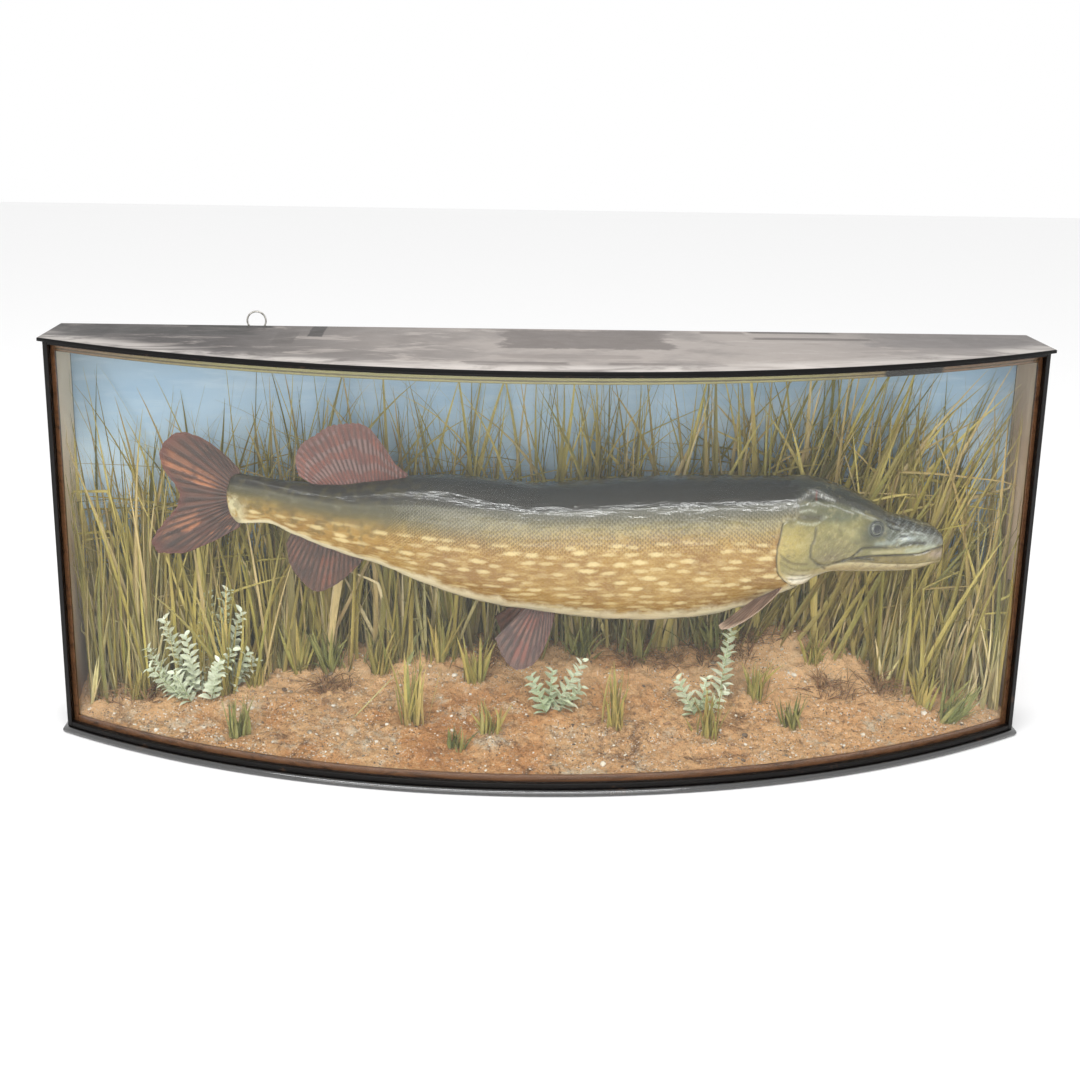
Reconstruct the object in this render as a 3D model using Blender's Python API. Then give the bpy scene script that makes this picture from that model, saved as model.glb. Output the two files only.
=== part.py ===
"""Mounted pike in a bow-fronted glazed case, life size.

Axes: +X towards the fish's head, +Y towards the wall behind the case, +Z up.
The origin is the middle of the footprint, on the surface that the case stands on.
Places on the fish are given as a distance from its snout and a height above the case's foot.
"""
import math
import random

import bmesh
import bpy
import numpy as np
from mathutils import Matrix, Vector

GAP = 0.0003  # clearance between pieces that touch

# The case
HALF_WIDTH = 0.654  # middle to the outer face of the frame
BOW_RISE = 0.203  # how far the bowed front stands out from the line between the posts
SIDE_DEPTH = 0.1205  # straight side, from that line to the back
CASE_HEIGHT = 0.5435
BASE_THICKNESS = 0.009
LID_THICKNESS = 0.0045
LIP = 0.006  # base and lid stand out this far past the frame
RAIL_DEPTH = 0.008
BOTTOM_RAIL_HEIGHT = 0.0072
TOP_RAIL_HEIGHT = 0.0038
POST_WIDTH = 0.0072
POST_DEPTH = 0.014
GLASS_THICKNESS = 0.002
SLIP_DEPTH = 0.006  # beads that hold the glass from inside
SLIP_SHOWS = 0.007
TOP_SLIP_SHOWS = 0.010
WALL_THICKNESS = 0.007
BACK_THICKNESS = 0.008
BOW_FLATS = 11  # flats in each half of the bow, shared by everything that follows it

# The two hangers on the back
HANGER_X = 0.397
PLATE_WIDTH = 0.022
PLATE_HEIGHT = 0.034
PLATE_THICKNESS = 0.0016
KNUCKLE_RADIUS = 0.0034
KNUCKLE_BORE = 0.0021
KNUCKLE_LENGTH = 0.006
RING_RADIUS = 0.0125
RING_WIRE = 0.00125
HANGER_DEPTH = GAP + 2 * KNUCKLE_RADIUS
KNUCKLE_Z = CASE_HEIGHT - 0.0065

OVERALL_DEPTH = LIP + BOW_RISE + SIDE_DEPTH + HANGER_DEPTH
CHORD_Y = LIP + BOW_RISE - OVERALL_DEPTH / 2  # the line between the front corners
BACK_Y = CHORD_Y + SIDE_DEPTH
BOW_RADIUS = (HALF_WIDTH**2 + BOW_RISE**2) / (2 * BOW_RISE)
BOW_CENTRE_Y = CHORD_Y + BOW_RADIUS - BOW_RISE
BOW_PITCH = HALF_WIDTH / BOW_FLATS
LID_UNDERSIDE = CASE_HEIGHT - LID_THICKNESS
OPENING_HALF_WIDTH = HALF_WIDTH - POST_WIDTH - GAP
SLIP_HALF_WIDTH = OPENING_HALF_WIDTH - SLIP_SHOWS - GAP
GLASS_OUTSIDE = -RAIL_DEPTH - GAP
SLIP_OUTSIDE = GLASS_OUTSIDE - GLASS_THICKNESS - GAP
SLIP_INSIDE = SLIP_OUTSIDE - SLIP_DEPTH

# The groundwork
GROUND_FRONT = 0.0225  # height of the sand at the glass
GROUND_SLOPE = 0.27
GROUND_COLUMNS = 33
GROUND_ROWS = 9
REED_ROWS = 3  # the last rows, behind the fish
REED_FOOT_Y = CHORD_Y + 0.043
REED_TIP_Z = 0.455
MOUND = (0.36, CHORD_Y + 0.045, 0.030, 0.11, 0.06)  # x, y, rise, spread in x, spread in y

# The fish
SNOUT_X = 0.526
FISH_Y = CHORD_Y - 0.025
RING = 24  # points round a section of the body
SNOUT_ROUND = 0.006
SNOUT_SQUARE = 2.9  # how square a section is: 2 is an ellipse
BODY_SQUARE = 2.3
STOCK_END = 0.948
STOCK_ROUND = 0.018
# distance from the snout, height of the back, height of the belly, half width
BODY = np.array((
    (0.000, 0.298, 0.261, 0.012),
    (0.006, 0.303, 0.261, 0.019),
    (0.015, 0.310, 0.259, 0.0245),
    (0.030, 0.3155, 0.254, 0.0275),
    (0.050, 0.322, 0.2495, 0.0285),
    (0.072, 0.327, 0.2485, 0.030),
    (0.095, 0.3415, 0.248, 0.0345),
    (0.120, 0.3545, 0.248, 0.0405),
    (0.145, 0.3655, 0.2485, 0.0465),
    (0.170, 0.3735, 0.243, 0.052),
    (0.195, 0.3765, 0.228, 0.056),
    (0.225, 0.375, 0.215, 0.059),
    (0.270, 0.3745, 0.198, 0.062),
    (0.330, 0.374, 0.184, 0.064),
    (0.400, 0.3725, 0.179, 0.0645),
    (0.470, 0.367, 0.182, 0.063),
    (0.540, 0.3625, 0.190, 0.059),
    (0.610, 0.369, 0.201, 0.053),
    (0.680, 0.373, 0.2215, 0.0445),
    (0.750, 0.365, 0.252, 0.035),
    (0.810, 0.359, 0.2705, 0.0265),
    (0.860, 0.363, 0.290, 0.020),
    (0.900, 0.368, 0.306, 0.015),
    (0.950, 0.3765, 0.305, 0.010),
))
# where the fish is parted into its nodes
HEAD_END = 0.238
TRUNK_CUTS = (("trunk_front", HEAD_END, 0.43), ("trunk_middle", 0.43, 0.62),
              ("trunk_rear", 0.62, 0.80), ("tail_stock", 0.80, STOCK_END))
HEAD_RINGS = (0.0006, 0.0025, 0.006, 0.012, 0.022, 0.036, 0.05, 0.065, 0.078, 0.09, 0.104, 0.12,
              0.14, 0.162, 0.185, 0.21)
JAW_OUTLINE = ((-0.01, 0.290), (0.008, 0.287), (0.024, 0.283), (0.048, 0.277), (0.085, 0.275),
               (0.122, 0.274), (0.141, 0.270), (0.163, 0.262), (0.174, 0.245), (0.176, 0.20),
               (-0.01, 0.20))
GILL_OUTLINE = ((0.186, 0.328), (0.208, 0.331), (0.222, 0.328), (0.2315, 0.316), (0.2365, 0.295),
                (0.2365, 0.274), (0.233, 0.260), (0.224, 0.249), (0.209, 0.240), (0.192, 0.247),
                (0.178, 0.258), (0.1875, 0.276))
GILL_INNER = 0.030  # the covers lie outside this distance from the middle of the head
EYE_PLACE = (0.099, 0.313)
EYE_RADIUS = 0.011
EYE_HALF_DEPTH = 0.0065
EYE_SINK = 0.0036  # the eye's middle lies this far inside the side of the head
EYE_SIDE = 0.034  # middle of the head to its side, at the eye

# Fins: where each starts inside the body, and its free margin, as (distance, height)
FIN_ROOT_THICKNESS = 0.0034
FIN_EDGE_THICKNESS = 0.0012
FIN_RAY_RELIEF = 0.0003
DORSAL_ROOT = ((0.716, 0.360), (0.775, 0.352), (0.826, 0.352))
DORSAL_MARGIN = ((0.712, 0.374), (0.728, 0.388), (0.739, 0.405), (0.751, 0.422), (0.763, 0.4355),
                 (0.778, 0.441), (0.808, 0.438), (0.833, 0.424), (0.851, 0.411), (0.858, 0.392),
                 (0.854, 0.371))
ANAL_ROOT = ((0.770, 0.266), (0.815, 0.280), (0.862, 0.300))
ANAL_MARGIN = ((0.768, 0.262), (0.777, 0.250), (0.796, 0.231), (0.815, 0.218), (0.832, 0.212),
               (0.856, 0.230), (0.870, 0.255), (0.873, 0.278))
CAUDAL_ROOT = ((0.928, 0.368), (0.940, 0.340), (0.930, 0.312))
CAUDAL_MARGIN = ((0.930, 0.379), (0.959, 0.408), (0.983, 0.423), (1.003, 0.428), (1.025, 0.415),
                 (1.033, 0.396), (1.028, 0.376), (1.016, 0.358), (1.010, 0.343), (1.014, 0.328),
                 (1.034, 0.303), (1.049, 0.277), (1.038, 0.263), (1.015, 0.263), (0.976, 0.277),
                 (0.932, 0.301))
# Paired fins: distance, outward from the middle, height
PELVIC_ROOT = ((0.518, 0.018, 0.208), (0.532, 0.018, 0.208), (0.546, 0.018, 0.210))
PELVIC_MARGIN = ((0.518, 0.026, 0.190), (0.522, 0.034, 0.174), (0.535, 0.043, 0.142),
                 (0.551, 0.048, 0.125), (0.567, 0.050, 0.121), (0.585, 0.049, 0.136),
                 (0.597, 0.043, 0.163))
PECTORAL_ROOT = ((0.224, 0.036, 0.236), (0.230, 0.034, 0.232), (0.236, 0.031, 0.229))
PECTORAL_MARGIN = ((0.219, 0.046, 0.236), (0.236, 0.066, 0.224), (0.256, 0.080, 0.208),
                   (0.276, 0.088, 0.196), (0.292, 0.086, 0.188), (0.304, 0.074, 0.187),
                   (0.306, 0.058, 0.189))

# Rods that hold the fish to the back board: distance from the snout, height
RODS = (("support_rod_front", 0.300, 0.300), ("support_rod_rear", 0.600, 0.300))
ROD_RADIUS = 0.006

EBONISED = ((0.012, 0.012, 0.012), 0.35)
LID_PAINT = ((0.20, 0.18, 0.17), 0.6)
BROWN_WOOD = ((0.10, 0.05, 0.03), 0.5)
CREAM_PAINT = ((0.62, 0.52, 0.40), 0.7)
SKY_PAINT = ((0.40, 0.55, 0.66), 0.8)
GLASS = ((0.85, 0.92, 0.90), 0.05)
BRASS = ((0.55, 0.50, 0.42), 0.4)
SAND = ((0.50, 0.32, 0.18), 0.9)
SKIN = ((0.42, 0.34, 0.15), 0.3)
FIN_SKIN = ((0.30, 0.10, 0.06), 0.4)
EYE_GLASS = ((0.25, 0.24, 0.18), 0.1)


def clear_scene():
    for thing in list(bpy.data.objects):
        bpy.data.objects.remove(thing, do_unlink=True)


def material(name, finish):
    """A Principled material of one colour and roughness."""
    found = bpy.data.materials.get(name)
    if found:
        return found
    made = bpy.data.materials.new(name)
    made.use_nodes = True
    shader = made.node_tree.nodes["Principled BSDF"]
    colour, roughness = finish
    shader.inputs["Base Color"].default_value = (*colour, 1.0)
    shader.inputs["Roughness"].default_value = roughness
    return made


def add_object(name, bm, finish, slot, smooth=False):
    """Close a bmesh into a named object, its faces pointing outwards."""
    bmesh.ops.recalc_face_normals(bm, faces=bm.faces)
    mesh = bpy.data.meshes.new(name)
    bm.to_mesh(mesh)
    bm.free()
    if smooth:
        mesh.shade_smooth()
        mesh.set_sharp_from_angle(angle=math.radians(35))
    made = bpy.data.objects.new(name, mesh)
    made.data.materials.append(material(slot, finish))
    bpy.context.scene.collection.objects.link(made)
    return made


def hide_cutter(thing):
    thing.hide_render = True
    thing.display_type = "WIRE"
    return thing


def boolean(target, cutter, operation="DIFFERENCE"):
    change = target.modifiers.new(cutter.name, "BOOLEAN")
    change.object = cutter
    change.operation = operation
    change.solver = "EXACT"


def loft_mesh(rings):
    """A closed solid through rings of equal length, each end capped flat."""
    bm = bmesh.new()
    rows = [[bm.verts.new(point) for point in ring] for ring in rings]
    count = len(rows[0])
    for row, following in zip(rows, rows[1:]):
        for i in range(count):
            j = (i + 1) % count
            bm.faces.new((row[i], row[j], following[j], following[i]))
    bm.faces.new(rows[0])
    bm.faces.new(rows[-1])
    return bm


def box_mesh(low, high):
    x0, y0, z0 = low
    x1, y1, z1 = high
    corners = ((x0, y0), (x1, y0), (x1, y1), (x0, y1))
    return loft_mesh([[Vector((x, y, z)) for x, y in corners] for z in (z0, z1)])


def prism_mesh(outline, z0, z1):
    return loft_mesh([[Vector((x, y, z)) for x, y in outline] for z in (z0, z1)])


# ---------------------------------------------------------------- the case

def bow_y(offset, x):
    """The bowed front, moved outwards by an offset, at a place across the case."""
    reach = (BOW_RADIUS + offset)**2
    step = math.floor(x / BOW_PITCH)
    share = x / BOW_PITCH - step
    here = math.sqrt(reach - (step * BOW_PITCH)**2)
    after = math.sqrt(reach - ((step + 1) * BOW_PITCH)**2)
    return BOW_CENTRE_Y - here * (1 - share) - after * share


def across(half_width):
    """Places across the case at every edge between two flats, and at both ends."""
    inner = [BOW_PITCH * i for i in range(-BOW_FLATS, BOW_FLATS + 1)]
    return [-half_width] + [x for x in inner if abs(x) < half_width - GAP] + [half_width]


def case_outline(offset):
    """The D-shaped outline of the case, grown on its front and sides."""
    half = HALF_WIDTH + offset
    front = [(x, bow_y(offset, x)) for x in across(half)]
    return front + [(half, BACK_Y), (-half, BACK_Y)]


def bow_bar(outside, inside, half_width, z0, z1):
    """A bar bent along the bow, between two offsets and two heights."""
    rings = []
    for x in across(half_width):
        outer, inner = bow_y(outside, x), bow_y(inside, x)
        ring = ((x, outer, z0), (x, inner, z0), (x, inner, z1), (x, outer, z1))
        rings.append([Vector(point) for point in ring])
    return loft_mesh(rings)


def make_base_board():
    """The foot of the case, with a half-round nosing on its front and sides."""
    radius = BASE_THICKNESS / 2
    rings = []
    for step in range(7):
        turn = math.pi * (step / 6 - 0.5)
        offset = LIP - radius + radius * math.cos(turn)
        z = radius + radius * math.sin(turn)
        rings.append([Vector((x, y, z)) for x, y in case_outline(offset)])
    add_object("base_board", loft_mesh(rings), EBONISED, "ebonised_wood", smooth=True)


def make_lid_board():
    """The thin top board, its upper edge eased."""
    ease = 0.0008
    levels = ((LID_UNDERSIDE, LIP), (CASE_HEIGHT - ease, LIP), (CASE_HEIGHT, LIP - ease))
    rings = [[Vector((x, y, z)) for x, y in case_outline(offset)] for z, offset in levels]
    add_object("lid_board", loft_mesh(rings), LID_PAINT, "lid_paint")


def make_rails():
    foot = BASE_THICKNESS + GAP
    top = LID_UNDERSIDE - GAP
    low = bow_bar(0, -RAIL_DEPTH, OPENING_HALF_WIDTH, foot, foot + BOTTOM_RAIL_HEIGHT)
    add_object("bottom_rail", low, EBONISED, "ebonised_wood")
    high = bow_bar(0, -RAIL_DEPTH, OPENING_HALF_WIDTH, top - TOP_RAIL_HEIGHT, top)
    add_object("top_rail", high, EBONISED, "ebonised_wood")


def make_posts():
    inner = HALF_WIDTH - POST_WIDTH
    rear = CHORD_Y + POST_DEPTH
    for name, side in (("post_left", -1), ("post_right", 1)):
        outline = [(side * inner, bow_y(0, inner)), (side * HALF_WIDTH, bow_y(0, HALF_WIDTH)),
                   (side * HALF_WIDTH, rear), (side * inner, rear)]
        bm = prism_mesh(outline, BASE_THICKNESS + GAP, LID_UNDERSIDE - GAP)
        add_object(name, bm, EBONISED, "ebonised_wood")


def make_front_glass():
    foot, top = BASE_THICKNESS + GAP, LID_UNDERSIDE - GAP
    inside = GLASS_OUTSIDE - GLASS_THICKNESS
    bm = bow_bar(GLASS_OUTSIDE, inside, OPENING_HALF_WIDTH, foot, top)
    add_object("front_glass", bm, GLASS, "glass", smooth=True)


def make_slips():
    """The brown beads behind the glass: bottom, top and one up each side."""
    foot = BASE_THICKNESS + GAP
    top = LID_UNDERSIDE - GAP
    side_outer = OPENING_HALF_WIDTH
    side_inner = side_outer - SLIP_SHOWS
    span = SLIP_HALF_WIDTH
    low_top = foot + BOTTOM_RAIL_HEIGHT + SLIP_SHOWS
    low = bow_bar(SLIP_OUTSIDE, SLIP_INSIDE, span, foot, low_top)
    add_object("slip_bottom", low, BROWN_WOOD, "brown_wood")
    high_foot = top - TOP_RAIL_HEIGHT - TOP_SLIP_SHOWS
    high = bow_bar(SLIP_OUTSIDE, SLIP_INSIDE, span, high_foot, top)
    add_object("slip_top", high, BROWN_WOOD, "brown_wood")
    for name, side in (("slip_left", -1), ("slip_right", 1)):
        outline = [(side * x, bow_y(offset, x)) for x, offset in (
            (side_inner, SLIP_OUTSIDE), (side_outer, SLIP_OUTSIDE),
            (side_outer, SLIP_INSIDE), (side_inner, SLIP_INSIDE))]
        add_object(name, prism_mesh(outline, foot, top), BROWN_WOOD, "brown_wood")


def make_walls():
    foot, top = BASE_THICKNESS + GAP, LID_UNDERSIDE - GAP
    back_front = BACK_Y - BACK_THICKNESS
    bm = box_mesh((-HALF_WIDTH, back_front, foot), (HALF_WIDTH, BACK_Y, top))
    add_object("back_board", bm, SKY_PAINT, "sky_paint")
    front = CHORD_Y + POST_DEPTH + GAP
    for name, side in (("side_wall_left", -1), ("side_wall_right", 1)):
        edges = sorted((side * (HALF_WIDTH - WALL_THICKNESS), side * HALF_WIDTH))
        bm = box_mesh((edges[0], front, foot), (edges[1], back_front - GAP, top))
        add_object(name, bm, CREAM_PAINT, "cream_paint")


def torus_mesh(centre, major, minor, turns=24, sides=6):
    """A wire ring that stands upright, its axis along Y."""
    bm = bmesh.new()
    rows = []
    for i in range(turns):
        a = 2 * math.pi * i / turns
        row = []
        for j in range(sides):
            b = 2 * math.pi * j / sides
            reach = major + minor * math.cos(b)
            point = Vector((reach * math.cos(a), minor * math.sin(b), reach * math.sin(a)))
            row.append(bm.verts.new(centre + point))
        rows.append(row)
    for i in range(turns):
        row, following = rows[i], rows[(i + 1) % turns]
        for j in range(sides):
            k = (j + 1) % sides
            bm.faces.new((row[j], row[k], following[k], following[j]))
    return bm


def rod_mesh(start, end, radius, sides=16):
    """A round rod between two points."""
    axis = (end - start).normalized()
    side = axis.orthogonal().normalized()
    other = axis.cross(side)
    rings = []
    for centre in (start, end):
        ring = []
        for i in range(sides):
            a = 2 * math.pi * i / sides
            ring.append(centre + radius * (math.cos(a) * side + math.sin(a) * other))
        rings.append(ring)
    return loft_mesh(rings)


def make_hanger(side_name, x, ring_up):
    """A screwed plate with a knuckle at its top, and the ring that passes through it."""
    plate_back = BACK_Y + GAP
    low = (x - PLATE_WIDTH / 2, plate_back, KNUCKLE_Z - PLATE_HEIGHT)
    high = (x + PLATE_WIDTH / 2, plate_back + PLATE_THICKNESS, KNUCKLE_Z)
    plate = add_object("hanger_plate_" + side_name, box_mesh(low, high), BRASS, "old_brass")
    centre = Vector((x, plate_back + KNUCKLE_RADIUS, KNUCKLE_Z))
    reach = Vector((KNUCKLE_LENGTH / 2, 0, 0))
    knuckle = rod_mesh(centre - reach, centre + reach, KNUCKLE_RADIUS)
    bore = rod_mesh(centre - 2 * reach, centre + 2 * reach, KNUCKLE_BORE, sides=12)
    boolean(plate, hide_cutter(add_object("knuckle_" + side_name, knuckle, BRASS, "old_brass")),
            "UNION")
    gap_half = Vector((PLATE_WIDTH, 0.02, 0))
    slot = box_mesh(centre + reach + Vector((0, -0.02, -KNUCKLE_RADIUS - GAP)),
                    centre + gap_half + Vector((0, 0, 0.01)))
    other = box_mesh(centre - gap_half + Vector((0, 0, -KNUCKLE_RADIUS - GAP)),
                     centre - reach + Vector((0, 0.02, 0.01)))
    for number, cut in enumerate((slot, other, bore)):
        cutter = add_object("hanger_cut_%s_%d" % (side_name, number), cut, BRASS, "old_brass")
        boolean(plate, hide_cutter(cutter))
    rise = RING_RADIUS if ring_up else -RING_RADIUS
    ring = torus_mesh(centre + Vector((0, 0, rise)), RING_RADIUS, RING_WIRE)
    add_object("hanger_ring_" + side_name, ring, BRASS, "old_brass", smooth=True)


# ---------------------------------------------------------------- the groundwork

def ground_height(x, y):
    """Height of the sand: it climbs from the glass to the back, with a mound on the right."""
    behind = y - bow_y(SLIP_INSIDE, min(abs(x), OPENING_HALF_WIDTH))
    mound_x, mound_y, rise, wide, deep = MOUND
    mound = rise * math.exp(-((x - mound_x) / wide)**2 - ((y - mound_y) / deep)**2)
    ripple = 0.004 * math.sin(9.0 * x + 1.0) * math.sin(14.0 * y + 0.6)
    ease = min(1.0, max(0.0, behind) / 0.05)
    return GROUND_FRONT + GROUND_SLOPE * max(0.0, behind) + ease * (mound + ripple)


def ground_front(x):
    """Where the sand starts: behind the bead along the bottom, or behind those at the sides."""
    if abs(x) > SLIP_HALF_WIDTH:
        return bow_y(SLIP_INSIDE, OPENING_HALF_WIDTH) + 2 * GAP
    return bow_y(SLIP_INSIDE - GAP, x)


def grow_blade(bm, face, height, lean, width, thickness=0.0016, steps=3):
    """Replace a face of the ground with one flat blade that narrows to its tip."""
    corners = list(face.verts)
    centre = face.calc_center_median()
    corners.sort(key=lambda v: math.atan2(v.co.y - centre.y, v.co.x - centre.x))
    bm.faces.remove(face)
    lower = corners
    for step in range(steps + 1):
        t = step / steps
        w = 0.5 * width * (1 - 0.75 * t)
        d = 0.5 * thickness * (1 - 0.3 * t)
        foot = centre + Vector((lean * t * t, 0, height * t + 0.001))
        spots = ((-w, -d), (w, -d), (w, d), (-w, d))
        upper = [bm.verts.new(foot + Vector((dx, dy, 0))) for dx, dy in spots]
        for i in range(4):
            j = (i + 1) % 4
            bm.faces.new((lower[i], lower[j], upper[j], upper[i]))
        lower = upper
    bm.faces.new(lower)


def ground_grid(bm):
    """The sand's top as a grid of faces, closed by its sides and its flat underside."""
    half = HALF_WIDTH - WALL_THICKNESS - GAP
    rear = BACK_Y - BACK_THICKNESS - GAP
    foot = BASE_THICKNESS + GAP
    even = GROUND_COLUMNS - 2
    edge = SLIP_HALF_WIDTH - GAP
    columns = [-half] + [edge * (2 * i / even - 1) for i in range(even + 1)] + [half]
    top = []
    for x in columns:
        front = ground_front(x)
        row = []
        open_rows = GROUND_ROWS - REED_ROWS
        for j in range(GROUND_ROWS + 1):
            if j <= open_rows:
                y = front + (REED_FOOT_Y - front) * j / open_rows
            else:
                y = REED_FOOT_Y + (rear - REED_FOOT_Y) * (j - open_rows) / REED_ROWS
            row.append(bm.verts.new((x, y, ground_height(x, y))))
        top.append(row)
    cells = {}
    for i in range(GROUND_COLUMNS):
        for j in range(GROUND_ROWS):
            corners = (top[i][j], top[i + 1][j], top[i + 1][j + 1], top[i][j + 1])
            cells[i, j] = bm.faces.new(corners)
    rim = [row[0] for row in top] + top[-1][1:]
    rim += [row[-1] for row in reversed(top[:-1])] + list(reversed(top[0][1:-1]))
    low = [bm.verts.new((v.co.x, v.co.y, foot)) for v in rim]
    for i in range(len(rim)):
        j = (i + 1) % len(rim)
        bm.faces.new((rim[j], rim[i], low[i], low[j]))
    bm.faces.new(low)
    return cells


def make_groundwork():
    """Sand with the main reeds along its back and the tufts before them."""
    bm = bmesh.new()
    cells = ground_grid(bm)
    rng = random.Random(5)
    rods = [SNOUT_X - rod[1] for rod in RODS]
    for column in range(1, GROUND_COLUMNS - 1):
        cell = cells[column, GROUND_ROWS - 2 - column % 2]
        foot = cell.calc_center_median()
        tall = REED_TIP_Z + rng.uniform(-0.05, 0.04) - foot.z
        lean = rng.uniform(-0.012, 0.012) + 0.03 * foot.x / HALF_WIDTH
        room = HALF_WIDTH - 2 * WALL_THICKNESS
        lean = max(-room, min(room, foot.x + lean)) - foot.x
        if any(abs(foot.x + lean / 2 - rod) < 0.035 for rod in rods):
            tall = 0.16
        grow_blade(bm, cell, tall, lean, 0.010)
    tufts = ((11, 2, 0.085), (13, 4, 0.055), (18, 2, 0.060), (21, 2, 0.075), (5, 3, 0.11),
             (24, 3, 0.050), (29, 4, 0.050), (17, 4, 0.055), (22, 3, 0.075), (3, 4, 0.060))
    for column, row, tall in tufts:
        grow_blade(bm, cells[column, row], tall, rng.uniform(-0.012, 0.012), 0.008)
    add_object("groundwork", bm, SAND, "sand")


# ---------------------------------------------------------------- the fish

def smooth_through(places, values, at):
    """A smooth curve through values, with no overshoot between them."""
    step = np.diff(places)
    slope = np.diff(values) / step
    tangent = np.zeros(len(places))
    tangent[0], tangent[-1] = slope[0], slope[-1]
    for i in range(1, len(places) - 1):
        if slope[i - 1] * slope[i] > 0:
            tangent[i] = 2 * slope[i - 1] * slope[i] / (slope[i - 1] + slope[i])
    i = int(np.clip(np.searchsorted(places, at) - 1, 0, len(places) - 2))
    t = (at - places[i]) / step[i]
    start = (1 + 2 * t) * (1 - t)**2 * values[i] + t * (1 - t)**2 * step[i] * tangent[i]
    finish = t * t * (3 - 2 * t) * values[i + 1] + t * t * (t - 1) * step[i] * tangent[i + 1]
    return float(start + finish)


def body_section(distance, grow=0.0):
    """One section of the body: rounded off at the snout and at the end of the tail stock."""
    back, belly, half_width = (smooth_through(BODY[:, 0], BODY[:, k], distance) for k in (1, 2, 3))
    nose = min(1.0, distance / SNOUT_ROUND)
    nose = math.sqrt(1 - (1 - nose)**2)
    rear = max(0.0, (distance - STOCK_END + STOCK_ROUND) / (STOCK_ROUND + 0.0005))
    rear = math.sqrt(max(0.0, 1 - rear * rear))
    half_height = (back - belly) / 2 * (0.35 + 0.65 * nose) * rear + grow
    half_width = half_width * nose * (0.3 + 0.7 * rear) + grow
    middle = (back + belly) / 2
    share = min(1.0, distance / HEAD_END)
    power = 2 / (SNOUT_SQUARE + (BODY_SQUARE - SNOUT_SQUARE) * share)
    ring = []
    for i in range(RING):
        angle = 2 * math.pi * i / RING
        c, s = math.cos(angle), math.sin(angle)
        y = half_width * math.copysign(abs(c)**power, c)
        z = half_height * math.copysign(abs(s)**power, s)
        ring.append(Vector((SNOUT_X - distance, FISH_Y + y, middle + z)))
    return ring


def body_mesh(distances, grow=0.0):
    return loft_mesh([body_section(distance, grow) for distance in distances])


def even_steps(start, end, step):
    count = max(2, math.ceil((end - start) / step))
    return [start + (end - start) * i / count for i in range(count + 1)]


def inset_outline(outline, distance):
    """The outline moved inwards by a distance, corner by corner."""
    count = len(outline)
    following = (*outline[1:], outline[0])
    area = sum(a[0] * b[1] - b[0] * a[1] for a, b in zip(outline, following))
    turn = 1 if area > 0 else -1
    moved = []
    for i in range(count):
        before = Vector(outline[i]) - Vector(outline[i - 1])
        after = Vector(outline[(i + 1) % count]) - Vector(outline[i])
        n0 = turn * Vector((-before.y, before.x)).normalized()
        n1 = turn * Vector((-after.y, after.x)).normalized()
        middle = (n0 + n1).normalized()
        moved.append(Vector(outline[i]) + middle * distance / max(0.3, middle.dot(n0)))
    return moved


def side_prism(outline, y0, y1):
    """A side-view outline of (distance, height) carried across the fish."""
    return loft_mesh([[Vector((SNOUT_X - d, y, z)) for d, z in outline] for y in (y0, y1)])


def eye_mesh(side, grow=0.0):
    """One eye: a shallow glass lens, its flat axis across the head."""
    distance, height = EYE_PLACE
    centre = Vector((SNOUT_X - distance, FISH_Y + side * (EYE_SIDE - EYE_SINK), height))
    bm = bmesh.new()
    bmesh.ops.create_uvsphere(bm, u_segments=16, v_segments=8, radius=1.0)
    size = (EYE_RADIUS + grow, EYE_RADIUS + grow, EYE_HALF_DEPTH + grow)
    turned = Matrix.Translation(centre) @ Matrix.Rotation(math.pi / 2, 4, "X")
    bmesh.ops.transform(bm, matrix=turned @ Matrix.Diagonal((*size, 1)), verts=bm.verts)
    return bm


def make_head():
    """Skull with snout and upper jaw, lower jaw, gill covers and eyes."""
    rings = [*HEAD_RINGS, HEAD_END - GAP / 2]
    head = add_object("head", body_mesh(rings), SKIN, "skin", smooth=True)
    far = FISH_Y + 0.1
    near = FISH_Y - 0.1
    jaw_room = hide_cutter(add_object("jaw_room", side_prism(JAW_OUTLINE, near, far), SKIN, "skin"))
    boolean(head, jaw_room)
    jaw = add_object("lower_jaw", body_mesh(rings), SKIN, "skin", smooth=True)
    jaw_form = side_prism(inset_outline(JAW_OUTLINE, GAP), near, far)
    boolean(jaw, hide_cutter(add_object("jaw_form", jaw_form, SKIN, "skin")), "INTERSECT")
    for name, side in (("right", -1), ("left", 1)):
        outer = FISH_Y + side * 0.1
        inner = FISH_Y + side * GILL_INNER
        room = side_prism(GILL_OUTLINE, inner, outer)
        boolean(head, hide_cutter(add_object("gill_room_" + name, room, SKIN, "skin")))
        cover = add_object("gill_cover_" + name, body_mesh(rings), SKIN, "skin", smooth=True)
        form = side_prism(inset_outline(GILL_OUTLINE, GAP), inner + side * GAP, outer)
        form = hide_cutter(add_object("gill_form_" + name, form, SKIN, "skin"))
        boolean(cover, form, "INTERSECT")
        socket = hide_cutter(add_object("socket_" + name, eye_mesh(side, GAP), SKIN, "skin"))
        boolean(head, socket)
        add_object("eye_" + name, eye_mesh(side), EYE_GLASS, "eye_glass", smooth=True)


def trunk_steps(start, end):
    """Where the sections of one length of the trunk lie."""
    if end < STOCK_END:
        return even_steps(start + GAP / 2, end - GAP / 2, 0.024)
    steps = even_steps(start + GAP / 2, STOCK_END - STOCK_ROUND, 0.022)
    return steps + [STOCK_END - STOCK_ROUND * share for share in (0.6, 0.3, 0.12, 0.0)]


def make_trunk():
    for name, start, end in TRUNK_CUTS:
        add_object(name, body_mesh(trunk_steps(start, end)), SKIN, "skin", smooth=True)


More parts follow.
